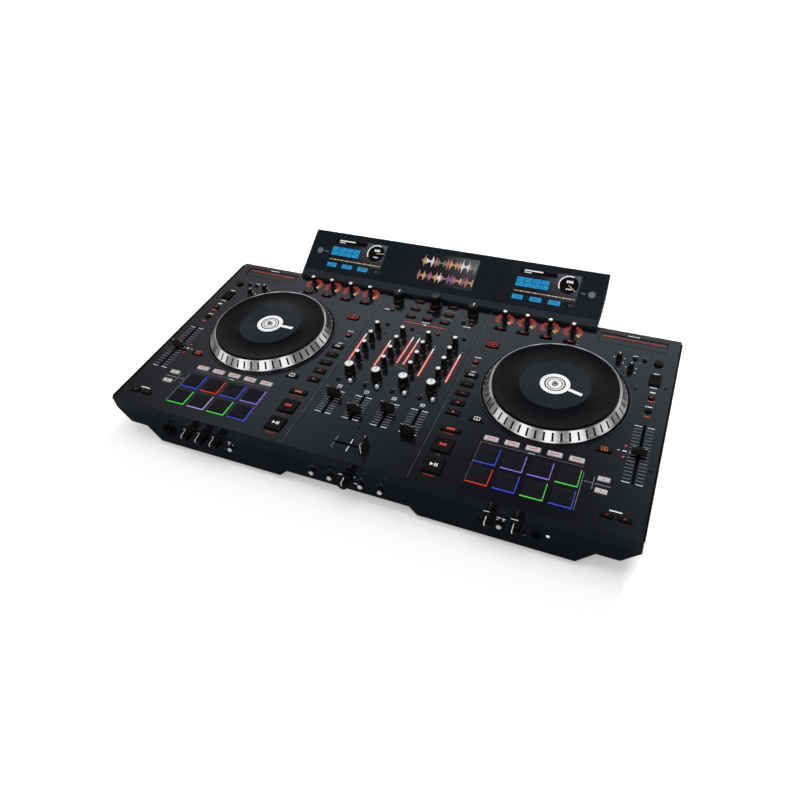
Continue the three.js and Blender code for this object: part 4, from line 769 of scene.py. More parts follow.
def knob(node, x, y, grip, extra=()):
    """A knob's grip and its shaft down to its pot, with what else is moulded on it."""
    shaft = turned([(2.4, -11.0), (2.4, 0.6)], 16)
    shapes = [moved(shape, x, y) for shape in (knob_body(*grip), shaft, *extra)]
    put(f"{node}_grip", shapes, knob_black, node, "control_black", node)


def knob_part(node, part, shape, material, sharp=35.0):
    """A piece that turns with its knob."""
    put(f"{node}_{part}", shape, material, node, "control_black", sharp=sharp)


tone_grip, filter_grip = (5.8, 1.8, 4.5, 4.0, 17.6, 12, 0.5), (9, 2.0, 7.6, 7.0, 16.6, 20, 0.45)
effect_grip = (4.6, 1.2, 3.8, 3.5, 15.8, 10, 0.4)
level_grip, browse_grip = (9.4, 2.2, 8.6, 8.0, 16.5, 22, 0.4), (10.4, 3.4, 8.0, 7.8, 20.3, 24, 0.55)
tone_tip = turned([(3.0, 17.2), (3.35, 17.5), (3.35, 17.9), (3.1, 18.25), (2.4, 18.5), (1.2, 18.6)], 32)
filter_cap = turned([(6.0, 16.3), (6.3, 16.5), (6.3, 16.85), (5.9, 17.1), (4.0, 17.18), (1.0, 17.2)], 48)
effect_tip = turned([(2.7, 15.4), (3.1, 15.7), (3.1, 16.2), (2.75, 16.6), (1.8, 16.8), (0.9, 16.85)], 32)
browse_cap = turned([(6.2, 20.1), (6.5, 20.3), (6.4, 20.42), (5.6, 20.36), (1.0, 20.3)], 48)
filter_rib = moved(slab(1.2, 1.3, 0.3, [(1.4, 0), (16.2, 0), (16.6, 0.2)], 3), 0, 7.6)
level_lines = [moved(slab(1.0, 7.2, 0.2, [(16.3, 0), (16.6, 0)], 2), 0, 3.8),
               moved(slab(1.0, 0.4, 0.15, [(3.4, 0), (15.8, 0)], 2), 0, 8.65)]
tone_ys = [191.4 + 24.6 * row for row in range(4)]
tone_names = ("bass", "middle", "treble", "gain")
filter_y = 162.4
level_x, level_y, browse_y = 64.5, 351, 354.5
for channel, x in enumerate(channel_xs, 1):
    for name, y in zip(tone_names, tone_ys):
        node = f"channel_{channel}_{name}_knob"
        knob(node, x, y, tone_grip)
        knob_part(node, "tip", moved(tone_tip, x, y), tip_white, sharp=60)
        knob_part(node, "line", bar(x, y + 1.7, 0.6, 2.6, 18.52), knob_black)
    node = f"channel_{channel}_filter_knob"
    knob(node, x, filter_y, filter_grip, [filter_rib])
    knob_part(node, "cap", moved(filter_cap, x, filter_y), tip_white, sharp=60)
    knob_part(node, "line", bar(x, filter_y + 2.6, 0.9, 6.6, 17.14), knob_black)
for side, sign in sides:
    for place, x in enumerate(effect_xs, 1):
        node = f"{side}_effect_knob_{place}"
        knob(node, sign * x, effect_knob_y, effect_grip)
        knob_part(node, "tip", moved(effect_tip, sign * x, effect_knob_y), tip_white, sharp=60)
    node = f"{side}_level_knob"
    knob(node, sign * level_x, level_y, level_grip)
    knob_part(node, "pointer", [moved(line, sign * level_x, level_y) for line in level_lines], print_white_painted_glow)
knob("browse_knob", 0, browse_y, browse_grip)
knob_part("browse_knob", "cap", moved(browse_cap, 0, browse_y), plate_paint, sharp=60)

# The two small time knobs of each deck and the assign switches stand on the plates themselves: turned
# plastic with a white pointer, and a dark collar with a white tip.
time_reach = 120.9
time_places = [(platter_x + time_reach * math.cos(turn), platter_y + time_reach * math.sin(turn))
               for turn in np.radians((53.6, 41.5))]
time_knob = knob_body(4.75, 1.1, 3.95, 3.75, 11.2, 12, 0.25)
time_lines = [moved(slab(0.8, 3.4, 0.15, [(11.1, 0), (11.3, 0)], 2), 0, 1.9),
              moved(slab(0.8, 0.4, 0.12, [(2.6, 0), (10.8, 0)], 2), 0, 4.0)]
time_spots = [(sign * x, y) for side, sign in sides for x, y in time_places]
put("time_knobs", [moved(time_knob, *spot) for spot in time_spots], knob_black, "casing", "charcoal_plate")
pointers = [moved(line, *spot) for spot in time_spots for line in time_lines]
put("time_knob_pointers", pointers, print_white_painted_glow, "casing", "charcoal_plate")
collar = turned([(3.9, -0.2), (3.9, 0.5), (3.5, 0.8), (2.9, 0.8)], 32)
lever = turned([(2.75, 0.2), (2.75, 4.0), (2.6, 4.7), (2.1, 5.2), (1.2, 5.45), (0.5, 5.5)], 32)
assign_spots = [(x + assign_offset, assign_y) for x in channel_xs]
put("assign_collars", [moved(collar, *spot) for spot in assign_spots], knob_black, "casing", "charcoal_plate")
levers = [moved(lever, *spot) for spot in assign_spots]
put("assign_tips", levers, tip_white, "casing", "charcoal_plate", sharp=60)

# Fader caps: thin fins of plastic whose crest dips between two pale dashes, each on a flat stem in
# its slot. The cross-fader's cap is glossy, is turned a quarter, and has a white line down its ends.
cap_plastic = moulding("cap_plastic", (0.0022, 0.0024, 0.003), (0.0034, 0.0037, 0.0045), 0.45, 0.3, 0.015, 0.2)
cap_gloss = moulding("cap_gloss", (0.0035, 0.0038, 0.0045), (0.005, 0.0055, 0.0065), 0.2, 0.4, 0.004, 0.45)
# The caps' pale dashes glow with painted light, though nothing lights them.
dash_grey_painted_glow = glowing("dash_grey_painted_glow", (0.24, 0.25, 0.26), (0.31, 0.32, 0.33), 0.4, painted=True)
fin_foot, fin_width, fin_length, fin_crest, fin_dish, fin_lean = 0.6, 19.6, 8.4, 3.2, 1.6, 0.05
fader_top, pitch_top = 16.6, 11.5


def crest_height(top, t):
    """Height of a fin's crest at t from -1 to 1 across it: the top less the dish times (1 - t squared)."""
    return top - fin_dish * (1 - t * t)


def fin(top):
    """A fader cap's shell: each section across it is a wedge from the foot up to the crest, whose edges are
    rounded; the ends lean in by a twentieth of the width, and the last sections are drawn in a little."""
    t = np.array([-1, -0.975, -0.93, *np.linspace(-0.85, 0.85, 13), 0.93, 0.975, 1])
    drop = np.where(np.abs(t) == 1, 0.7, np.where(np.abs(t) == 0.975, 0.2, 0.0))
    crown = (crest_height(top, t) - drop)[:, None]
    feet = np.tile([fin_foot, fin_foot + 0.9], (len(t), 1))
    height = np.concatenate((feet, crown - np.array([0.6, 0.15, 0.0])), 1)
    inset = np.array([0.1, 0.0, 0.0, 0.14, 0.5])
    half = (fin_length + (fin_crest - fin_length) * (height - fin_foot) / (top - fin_foot)) / 2 - inset
    half = half * (1 - 0.5 * drop[:, None] / fin_length)
    height = np.concatenate((height, height[:, ::-1]), 1)
    across = np.concatenate((-half, half[:, ::-1]), 1)
    x = fin_width / 2 * t[:, None] * (1 - fin_lean * (height - fin_foot) / (top - fin_foot))
    return stacked(np.stack((x, across, height), -1)[::-1])


def crest_dash(top, end):
    """A short dash that follows the crest near one of its ends."""
    t = np.linspace(0.6, 0.97, 5)
    crown = crest_height(top, t)
    x = end * fin_width / 2 * t * (1 - fin_lean)
    rings = [np.column_stack(np.broadcast_arrays(x_at, [-0.4, 0.4, 0.4, -0.4], [low, low, high, high]))
             for x_at, low, high in zip(x, crown - 0.3, crown + 0.09)]
    return stacked(rings[::-end])


def end_line(top, end, width=0.9):
    """A line down the middle of one of a fin's leaning ends."""
    height = np.array([fin_foot + 0.6, top - 0.9])
    x = fin_width / 2 * (1 - fin_lean * (height - fin_foot) / (top - fin_foot))
    corners = ((-0.3, -width / 2), (0.08, -width / 2), (0.08, width / 2), (-0.3, width / 2))
    rings = [np.array([[end * (x_at + out), y, z] for out, y in corners]) for x_at, z in zip(x, height)]
    return stacked(rings[::end])


def fader_cap(name, body, node, x, y, top, turn=0, material=cap_plastic):
    """One cap with its stem and the dashes on its crest, turned and put in place."""
    stem = slab(2, 5, 0.3, [(-9, 0), (4, 0)], 3)
    shapes = [moved(part, x, y, 0, turn) for part in (fin(top), stem)]
    put(name, shapes, material, body, "control_black", node, sharp=40)
    dashes = [moved(crest_dash(top, end), x, y, 0, turn) for end in (-1, 1)]
    put(name + "_dashes", dashes, dash_grey_painted_glow, body, "control_black")


cross_x, cross_y, pitch_y = 20.1, 28.4, 134.35
for channel, (x, y) in enumerate(zip(channel_xs, (109.14, 86.96, 104.9, 72.8)), 1):
    body = f"channel_{channel}_fader"
    fader_cap(f"channel_{channel}_cap", body, f"{body}_cap", x, y, fader_top)
fader_cap("cross_cap", "crossfader", "crossfader_cap", cross_x, cross_y, fader_top, 90, cap_gloss)
cross_lines = [moved(end_line(fader_top, end), cross_x, cross_y, 0, 90) for end in (-1, 1)]
put("cross_cap_lines", cross_lines, print_white_painted_glow, "crossfader", "control_black")
for side, sign in sides:
    body = f"{side}_pitch_fader"
    fader_cap(f"{side}_pitch_cap", body, f"{body}_cap", sign * pitch_x, pitch_y, pitch_top)
    lines = [moved(end_line(pitch_top, end, 0.7), sign * pitch_x, pitch_y) for end in (-1, 1)]
    put(f"{side}_pitch_cap_lines", lines, print_grey, body, "control_black")

# The display: three lit screens under a smooth dark panel, with a round view button at each end. What
# they show is drawn with thin lit shapes: plain key blocks, a gauge and two waveforms.
tilt = math.radians(30)
face_origin = np.array([0.0, 365.9, 6.6])
screen_pitch, screen_up, view_button_x, panel_seam_x = 166, 50.7, 237.05, 88


def on_face(points):
    """Points given as (right, up the display's face, out of it), turned back by the tilt and placed."""
    x, up, out = np.asarray(points, float).T
    c, s = math.cos(tilt), math.sin(tilt)
    return at(np.column_stack((x, c * up - s * out, s * up + c * out)) + face_origin)


screen_glass = moulding("screen_glass", (0.004, 0.0045, 0.0055), (0.005, 0.0055, 0.007), 0.12, 0.5, 0.001, 0.5)
screen_grey = glowing("screen_grey", (0.035, 0.042, 0.05), (0.05, 0.058, 0.068), 0.6, 9.0)
screen_blue = glowing("screen_blue", (0.0, 0.22, 0.50), (0.002, 0.32, 0.66), 1.0, 3.0)
screen_mark = glowing("screen_mark", (0.02, 0.10, 0.2), (0.03, 0.14, 0.26), 1.0, 3.0)
screen_amber = glowing("screen_amber", (0.62, 0.30, 0.10), (0.80, 0.55, 0.25), 0.9, 1.5)
screen_green = glowing("screen_green", (0.10, 0.24, 0.12), (0.22, 0.40, 0.20), 0.8, 1.2)
screen_pink = glowing("screen_pink", (0.50, 0.10, 0.16), (0.70, 0.30, 0.22), 0.9, 1.2)
screen_purple = glowing("screen_purple", (0.26, 0.10, 0.34), (0.45, 0.18, 0.40), 0.8, 1.2)
button_grey = moulding("button_grey", (0.11, 0.115, 0.12), (0.14, 0.145, 0.15), 0.4, 0.3, 0.01)


def tile(x, up, width, height, out=-0.42):
    """A flat lit tile on a screen."""
    return moved(slab(width, height, 0.3, [(out - 0.05, 0), (out + 0.05, 0)], 2), x, up)


def screen_painted_sheen():
    """A painted reflection on the idle parts of a screen: it glows black, easing to grey toward the right and the
    top. The fraction of x over the screens' pitch plus a half runs alike across all three."""
    tree = Tree(bpy.data.materials.new("screen_painted_sheen"))
    axes = tree.add("SeparateXYZ", {0: tree.add("TexCoord", output="Object")}).node.outputs
    pitches = tree.maths("MULTIPLY", axes["X"], 1 / (screen_pitch * MM))
    across = tree.maths("FRACT", tree.maths("ADD", pitches, 0.5))
    right = tree.spread(across, 0.36, 0.8, 0.05, 1.0)
    upward = tree.spread(axes["Z"], ORIGIN[2] + 0.0226, ORIGIN[2] + 0.046, 0.25, 1.0)
    tone = tree.mix(tree.maths("MULTIPLY", right, upward), (0.003, 0.0035, 0.004, 1), (0.10, 0.105, 0.115, 1))
    tree.feed(tree.shader, {"Emission Color": tone, "Emission Strength": 0.9, "Roughness": 0.2,
                            "Base Color": (0.006, 0.006, 0.007, 1)})
    return tree.owner


windows = [moved(slab(99.3, 56.3, 0.4, [(-1.2, 0), (-0.5, 0)], 2), place * screen_pitch, screen_up)
           for place in (-1, 0, 1)]
# The screens' windows glow with a painted reflection, grey toward the right and the top.
put("screen_windows", windows, screen_painted_sheen(), "casing", "screen", "display_board", place=on_face)
cells = [(13.3 * column, -8.4 * row) for row in range(2) for column in range(4)]
thirds = [29.8 * place for place in range(3)]
row_up, on_tile, on_gauge = 27.6, -0.34, -0.32
gauge_up, gauge_offset = 61.5, 32.5
hand_turns = {"left": 4.0, "right": -38.0}
track = np.arange(52)
track_heights = 0.8 + 1.1 * np.abs(np.sin(track * 1.7) * np.cos(track * 0.53))
for side, sign in sides:
    middle = sign * screen_pitch
    gauge_x = middle + gauge_offset
    blue = [tile(middle - 43.2 + x, 58.6 + up, 12.4, 7.6) for x, up in cells]
    blue += [tile(middle - 41.5 + x, row_up, 19, 7.8) for x in thirds]
    dark = [tile(middle - 45.5 + x, 59.4 + up, 3.2, 2.6, on_tile) for x, up in cells]
    dark += [tile(middle - 40.6 + x, 57.6 + up, 4.0, 1.0, on_tile) for x, up in cells]
    dark += [tile(middle - 41.5 + x, row_up, 9.0, 2.0, on_tile) for x in thirds]
    dial = turned([(15.6, -0.45), (15.6, -0.38), (0.5, -0.38)], 64)
    black = [moved(dial, gauge_x, gauge_up), tile(middle - 18, 73.6, 60, 8.6)]
    black += [tile(middle - 0.5, row_up, 98, 9.6, -0.48), tile(middle - 24, 54.4, 52, 17.4, -0.48)]
    white = []
    for turn in np.linspace(72, 208, 18):
        tick = moved(slab(1.7, 2.9, 0.2, [(-0.4, 0), (-0.3, 0)], 2), 15.0)
        white.append(moved(moved(tick, turn=turn), gauge_x, gauge_up))
    white += [tile(gauge_x - 2.6 + 3.6 * place, gauge_up + 5.4, 2.6, 4.2, on_gauge) for place in range(3)]
    white += [tile(gauge_x - 1.2 + 3.0 * place, gauge_up - 7.4, 2.0, 2.2, on_gauge) for place in range(3)]
    white += [tile(middle - 26, 75.4, 30, 1.9, on_tile), tile(middle - 35, 71.8, 12, 1.2, on_tile)]
    hand = moved(slab(15, 1.2, 0.2, [(on_gauge, 0), (-0.26, 0)], 2), 8.0)
    warm = [moved(moved(hand, turn=hand_turns[side]), gauge_x, gauge_up)]
    grey = [tile(middle + 11.5, 58.6, 9, 5.6), tile(middle + 11.5, 50.2, 5, 5), tile(middle + 44, row_up, 8, 5)]
    grey += [moved(flat_ring(2.7, 3.7, -0.45, -0.36, 24), middle - 26.3 + x, row_up) for x in thirds]
    strip = [tile(middle - 48.4 + 1.86 * step, 38.2, 1.5, size) for step, size in zip(track, track_heights)]
    for name, shapes, material in (
        ("marks", dark, screen_mark), ("black", black, screen_glass), ("blue", blue, screen_blue),
        ("grey", grey, screen_grey), ("white", white + strip[::3], lit_white),
        ("warm", warm + strip[1::3] + strip[2::3], screen_amber),
    ):
        put(f"{side}_screen_{name}", shapes, material, "casing", "screen", place=on_face)
waves = {"amber": [], "green": [], "white": [], "pink": [], "purple": []}
burst_steps = 7.3
for up, kinds in ((63.5, ("amber", "amber", "green", "pink", "white", "amber", "pink", "green", "white")),
                  (36.5, ("pink", "purple", "white", "pink", "amber", "purple", "pink", "amber", "purple"))):
    for step in range(102):
        burst = int(step / burst_steps)
        peak = burst_steps * burst + 3.6 + 2.2 * math.sin(burst * 4.1 + up)
        size = (9.0 + 12.0 * abs(math.sin(burst * 2.3 + up))) * math.exp(-abs(step - peak) / 1.5)
        size += 1.4 + 3.4 * abs(math.sin(step * 2.7 + up) * math.sin(step * 0.37))
        waves[kinds[burst * 4 % 9]].append(tile(-48.0 + 0.95 * step, up, 0.62, min(size, 24.0)))
wave_tones = {"amber": screen_amber, "green": screen_green, "white": lit_white, "pink": screen_pink,
              "purple": screen_purple}
for tone, material in wave_tones.items():
    put(f"middle_screen_{tone}", waves[tone], material, "casing", "screen", place=on_face)
button = turned([(5.7, -2.0), (5.7, 0.5), (5.45, 0.85), (4.9, 1.0), (4.0, 0.9)], 48)
buttons = [moved(button, sign * view_button_x, screen_up) for side, sign in sides]
put("view_buttons", buttons, button_grey, "casing", "screen", place=on_face)
seams = [tile(sign * panel_seam_x, 50, 0.35, 76, 0.02) for side, sign in sides]
put("display_seams", seams, slot_black, "casing", "charcoal_plate", place=on_face)
labels = [bar(sign * 224.5, screen_up, 7.0, 1.5) for side, sign in sides]
put("display_labels", labels, print_grey, "casing", "charcoal_plate", place=on_face)

# Printed on the plates: thin grey and white lines, tick marks and rows of small plain marks. The white print
# glows, which is painted light. Lit from below: red and orange marks, the rings round the effect knobs, the level
# meters. Painted too: shade round the touch strips and a highlight along each seam between the plates.
lit_ring = glowing("ring_mark", (0.36, 0.028, 0.022), (0.5, 0.05, 0.035), 0.85, 2.0)
lit_amber = glowing("amber_mark", (0.62, 0.34, 0.10), (0.78, 0.48, 0.18), 1.0, 2.0)
meter_core = glowing("meter_core", (0.9, 0.62, 0.56), (1.0, 0.82, 0.76), 1.0, 6.0)
meter_edge = glowing("meter_edge", (0.66, 0.035, 0.03), (0.82, 0.06, 0.045), 1.0, 6.0)


def stroke(x0, y0, x1, y1, width=0.5, z=0.0):
    """A straight line between two points of a plate."""
    turn = math.degrees(math.atan2(x0 - x1, y1 - y0))
    return bar((x0 + x1) / 2, (y0 + y1) / 2, width, math.hypot(x1 - x0, y1 - y0), z, turn)


def spokes(x, y, inner, outer, turns, width=0.5):
    """Short lines that point away from a centre, one at each of the turns in degrees."""
    around = np.radians(np.asarray(turns, float))
    return [stroke(x + inner * c, y + inner * s, x + outer * c, y + outer * s, width)
            for c, s in zip(np.cos(around), np.sin(around))]


def label(x, y, width, height):
    """A row of small plain marks of three heights beside a control, spaced evenly about x."""
    pitch = 1.25
    count = max(int(round(width / pitch)), 1)
    steps = np.arange(count)
    tall = height * (1 - 0.18 * ((steps * 5) % 3))
    along = (steps - (count - 1) / 2) * pitch
    return [bar(x + shift, y, pitch * 0.72, float(size)) for shift, size in zip(along, tall)]


def disc(x, y, radius, top, count):
    """A flat round mark."""
    return moved(turned([(radius, mark_foot), (radius, top)], count), x, y)


deck_labels = (
    ("white", 337.1, 133, 5.5, 2.2), ("white", 228, 90.8, 9, 1.3), ("white", 343.6, 34.4, 15, 2.2),
    ("white", 353.9, 222.7, 9, 1.8), ("white", 354.6, 292.6, 7, 1.7), ("white", 354.6, 262.6, 9, 1.7),
    ("white", 355.2, 252.6, 7, 2.6), ("white", 105.4, 250.6, 10, 1.6), ("white", 108.65, 218.4, 8, 1.6),
    ("white", 321.6, 323.2, 8, 1.3), ("white", 312.4, 367.2, 16, 1.6),
    ("orange", 354.7, 203.4, 8, 2.0), ("orange", 355.6, 234.4, 9, 1.8),
    ("grey", 322.0, 68.6, 19, 1.9), ("grey", 105.05, 231.6, 8, 1.3), ("grey", 108.65, 201.6, 9, 1.0),
    ("grey", 335.3, 323.2, 9, 1.2), ("grey", 328.0, 309.4, 7, 1.2), ("grey", 237.4, 324.3, 5, 1.2),
    ("dim_red", 116.2, 14.6, 15, 2.6), ("dim_red", 115.6, 51.0, 5, 2.0), ("dim_red", 115.8, 90.4, 16, 1.7),
)
deck_strokes = ((297, 20.2, 297, 83.3, 0.55), (298.6, 69, 310.3, 68.5, 0.7), (310.3, 59.1, 310.3, 78.7, 0.8),
                (161.2, 90.8, 294.5, 90.8, 0.4), (161.2, 90.8, 161.2, 19.2, 0.3))
plate_inks = {"grey": print_grey, "white": print_white_painted_glow, "red": lit_red, "orange": lit_orange, "amber": lit_amber,
              "dim_red": lit_dim, "recess": slot_black, "ring_red": lit_ring}
strip_y, strip_floor = 358.6, -0.75
screw_top = 0.08
for side, sign in sides:
    marks = {ink: [] for ink in plate_inks}
    for row, y in enumerate(np.linspace(83, 183, 18)):
        ticks = [bar(sign * 346.5, y, 9.8, 0.7), bar(sign * 362.7, y, 9.0, 0.7)]
        marks["white" if row in (0, 17) else "grey"] += ticks
    for ink, x, *rest in deck_labels:
        marks[ink] += label(sign * x, *rest)
    marks["grey"] += [stroke(sign * x0, y0, sign * x1, y1, width) for x0, y0, x1, y1, width in deck_strokes]
    marks["white"] += [bar(sign * 329.5, 132.8, 2.6, 0.7), bar(sign * 343.6, 133, 1.6, 0.7)]
    marks["red"] += [arrow(sign * 337.3, 142.8, 2.4, 0, 90), arrow(sign * 337.0, 123.0, 2.4, 0, -90)]
    for x in effect_xs:
        lights = spokes(sign * x, effect_knob_y, 8.8, 14.8, np.linspace(228, -40, 13), 3.2)
        marks["ring_red"] += lights[:11]
        marks["orange"].append(lights[11])
        marks["amber"].append(lights[12])
    for x, y in time_places:
        marks["white"] += spokes(sign * x, y, 7.6, 9.4, (150, 90, 30, -40), 0.9)
        marks["grey"] += spokes(sign * x, y, 7.6, 8.6, (120, 60, 200), 0.6)
    for place, x in enumerate(np.linspace(271.3, 355.3, 22)):
        marks["red" if place < 4 else "ring_red"].append(bar(sign * x, strip_y, 3.3, 2.3, strip_floor))
    # Painted shade round each touch strip: a dark bar in front of its light and a dark frame round the sunken strip.
    # With them go dark screw heads, two small dark dots, a dark strip along the plate's outer edge, and the dark seam
    # between the deck plate and the mixer plate.
    marks["recess"] += [bar(sign * 313.1, 356.4, 88, 1.5, strip_floor - 0.03),
                        hoop(sign * 313.1, 354.0, 98.6, 23.4, 1.4, 0.8)]
    marks["recess"] += [disc(sign * x, y, 1.9, screw_top, 20)
                        for x, y in ((371.4, 109.1), (331.9, 252.4), (370.3, 265.1))]
    marks["recess"] += [disc(sign * x, y, 0.9, mark_top, 12) for x, y in ((284.8, 115.3), (305.1, 53.5))]
    dark_edge_strip = slab(2.6, 366, 0.8, [(-0.6, 0), (0.8, 0), (1.1, 0.3)], 3)
    marks["recess"] += [moved(dark_edge_strip, sign * 380.1, 186), bar(sign * 90.5, 186.4, 1.3, 371.0)]
    # A painted highlight: a thin pale line in the grey print's material along the deck plate's edge beside the seam.
    marks["grey"].append(bar(sign * 91.4, 186.4, 0.3, 370.0))
    for ink, shapes in marks.items():
        put(f"{side}_plate_{ink}", shapes, plate_inks[ink], "casing", "charcoal_plate")

mixer_labels = (
    ("grey", -5.4, 197.4, 6, 1.4), ("grey", 4.6, 193.6, 9, 1.2), ("grey", -64.5, 334.6, 12, 1.2),
    ("grey", 64.5, 334.6, 12, 1.2), ("white", 0.1, 306.9, 13, 1.5), ("white", -73.6, 322.9, 9, 1.6),
    ("white", 65.6, 315.6, 13, 1.5),
)
mixer_inks = {"grey": print_grey, "white": print_white_painted_glow, "red": lit_red, "screws": slot_black}
marks = {ink: [] for ink in mixer_inks}
for number, x in zip("3124", channel_xs):
    for row, y in enumerate(np.linspace(73, 118.7, 10)):
        marks["white" if row in (0, 9) else "grey"] += [bar(x - 8.4, y, 9.8, 0.8), bar(x + 7.4, y, 9.2, 0.8)]
    marks["white"] += [hoop(x - 0.7, 129.4, 6.4, 5.6, 0.7, 0.5), digit(number, 3.6, x - 0.7, 129.4)]
    for y in tone_ys:
        marks["grey"] += spokes(x, y, 7.1, 8.4, (215, 325, 250, 290), 0.7) + spokes(x, y, 7.1, 8.1, (90,), 0.6)
        marks["grey"] += label(x, y - 10.6, 5, 1.2)
    marks["grey"] += spokes(x, filter_y, 10.6, 12.2, (225, 315, 90), 0.8) + label(x - 9.8, 148.6, 4.5, 1.2)
    marks["grey"] += label(x + 9.8, 149.6, 6, 1.2) + label(x + cue_offset, 291.2, 4, 1.0)
for ink, x, *rest in mixer_labels:
    marks[ink] += label(x, *rest)
for ink, x in (("grey", -23.3), ("white", -1.1)):
    marks[ink] += [bar(x, 21.6, 0.9, 9.6), bar(x, 35.2, 0.9, 8.2)]
marks["grey"] += [bar(35.2, 254.6, 3.0, 2.4), bar(78.3, 254.0, 3.0, 2.4), bar(-0.3, 272.0, 8.0, 0.6),
                  bar(28.8, 345.6, 21, 0.7), bar(28.8, 325.2, 21, 0.7)]
marks["white"].append(bar(0.8, 301, 5.0, 1.9))
marks["red"] += [stroke(-33.1, 301, -3.4, 301, 1.5), stroke(4.4, 301, 33.1, 301, 1.5)]
marks["screws"] += [disc(x, y, 1.9, screw_top, 20) for x, y in ((-1.7, 60.5), (-52.0, 262.4), (51.8, 284.0))]
meters = ((-79, 253.3, -78.8, 186.2), (-35.6, 249, -36.2, 185.9), (-4.8, 267.3, -6.1, 202),
          (5.5, 267, 4.2, 201.7), (35, 250.2, 34.5, 184.7), (78.1, 249.6, 77.5, 184.5))
lit_from, core_z, tip_z = 9, 0.07, 0.09
edges = [stroke(x0, y0 - lit_from, x1, y1, 3.6) for x0, y0, x1, y1 in meters]
cores = [stroke(x0, y0 - lit_from, x1, y1, 0.85, core_z) for x0, y0, x1, y1 in meters]
tips = [stroke(x0, y0, x0, y0 - 11, 1.9, tip_z) for x0, y0, x1, y1 in meters]
for name, shapes, material in (("edges", edges, meter_edge), ("cores", cores, meter_core), ("tips", tips, lit_white)):
    put(f"meter_{name}", shapes, material, "casing", "charcoal_plate")
for ink, shapes in marks.items():
    put(f"mixer_plate_{ink}", shapes, mixer_inks[ink], "casing", "charcoal_plate")

# The fascia: volume knobs and switches that stand out of it, two jacks, and the marks printed beside them.
# It leans, so that its marks are placed by their height and by how far they stand out of its surface.
lean = 6.0 / 44.0
knob_z, socket_z, switch_z = -34.5, -41.0, -39.5


def fascia_y(z):
    """How far back the fascia's surface lies at a height."""
    return 3 + (z + 23) * lean


def on_fascia(points):
    """Points given as (right, height, out of the fascia), on its leaning plane."""
    x, height, out = np.asarray(points, float).T
    slant = math.hypot(1, lean)
    return at(np.column_stack((x, fascia_y(height) - out / slant, height + out * lean / slant)))


def fitted(shape, side, x, y, z):
    """The shape with its +Z turned to face the player (side -1) or the rear (side 1), at its place."""
    points, faces = shape
    return np.column_stack((points[:, 0] + x, side * points[:, 2] + y, -side * points[:, 1] + z)), faces


def along_side(x, turn, foot_y, end_y):
    """A line along a fascia knob's tapering side, turn degrees up from its right: the knob's pointer line, and
    partly a painted highlight along its side.
    """
    c, s = math.cos(math.radians(turn)), math.sin(math.radians(turn))
    half_width, radius, taper = 0.45, 6.95, 0.55
    rows = []
    for y, reach in ((foot_y, radius), (end_y, radius - taper)):
        corners = []
        for out, across in ((-0.6, -half_width), (0.12, -half_width), (0.12, half_width), (-0.6, half_width)):
            corners.append((x + (reach + out) * c - across * s, y, knob_z + (reach + out) * s + across * c))
        rows.append(np.array(corners))
    return stacked(rows)


front_knob_xs = (-253.2, -228.9, -204.4, 199.9, 234.8)
grip_profile = [(7.12, 2.3), (7.05, 3.0), (6.4, 14.0), (6.25, 14.7), (5.8, 15.1), (4.8, 15.15)]
front_profile = [(7.5, -1.0), (7.75, -0.8), (7.75, 1.3), (7.5, 1.6), (7.2, 1.7), *grip_profile]
knob_face_y, knob_end, tip_reach = fascia_y(knob_z), 15.0, 4.6
end_levels = [(14.9, 0), (15.24, 0)]
front_knobs, front_lines = [], []
for x in front_knob_xs:
    turn = 112 if x < 0 else 108
    c, s = math.cos(math.radians(turn)), math.sin(math.radians(turn))
    front_knobs.append(fitted(turned(front_profile), -1, x, knob_face_y, knob_z))
    front_lines.append(along_side(x, turn, knob_face_y - 3.2, knob_face_y - knob_end))
    end_mark = slab(0.9, 4.4, 0.15, end_levels, 2)
    front_lines.append(fitted(end_mark, -1, x + tip_reach * c, knob_face_y, knob_z + tip_reach * s))
    # On the left knobs a short bar on the skirt is a painted highlight along the skirt's edge.
    if x < 0:
        skirt_highlight = slab(3.6, 0.8, 0.15, [(1.5, 0), (1.78, 0)], 2)
        front_lines.append(fitted(skirt_highlight, -1, x - tip_reach, knob_face_y, knob_z + 7.2))
put("fascia_knobs", front_knobs, knob_black, "casing", "dark_shell")
put("fascia_knob_lines", front_lines, print_white_painted_glow, "casing", "dark_shell")

contour_x, contour_y = 3.8, knob_face_y - 1.5
contour_profile = [(7.4, 0.4), (7.7, 0.7), (7.7, 1.5), (7.3, 1.8), *grip_profile]
contour_shapes = [fitted(shape, -1, contour_x, contour_y, knob_z)
                  for shape in (turned(contour_profile), turned([(2.4, -14.0), (2.4, 0.6)], 16))]
put("contour_knob_grip", contour_shapes, knob_black, "contour_knob", "control_black", "contour_knob")
end_mark = slab(0.9, 5.0, 0.15, end_levels, 2)
contour_line = [along_side(contour_x, 98, contour_y - 5.0, contour_y - knob_end),
                fitted(end_mark, -1, contour_x - 0.5, contour_y, knob_z + 3.4)]
put("contour_knob_line", contour_line, print_white_painted_glow, "contour_knob", "control_black")

switch_xs = [-180.3, -48.8, -21.4, 24.5, 53.0, 214.5]
stem = turned([(3.6, -0.5), (3.6, 0.5), (3.5, 0.9), (3.45, 5.2)], 32)
tip = turned([(3.46, 5.1), (3.46, 5.9), (3.2, 6.4), (2.5, 6.72), (1.2, 6.8)], 32)
for name, shape, material, sharp in (("stems", stem, knob_black, 35), ("tips", tip, tip_white, 60)):
    shapes = [fitted(shape, -1, x, fascia_y(switch_z), switch_z) for x in switch_xs]
    put(f"switch_{name}", shapes, material, "casing", "dark_shell", sharp=sharp)

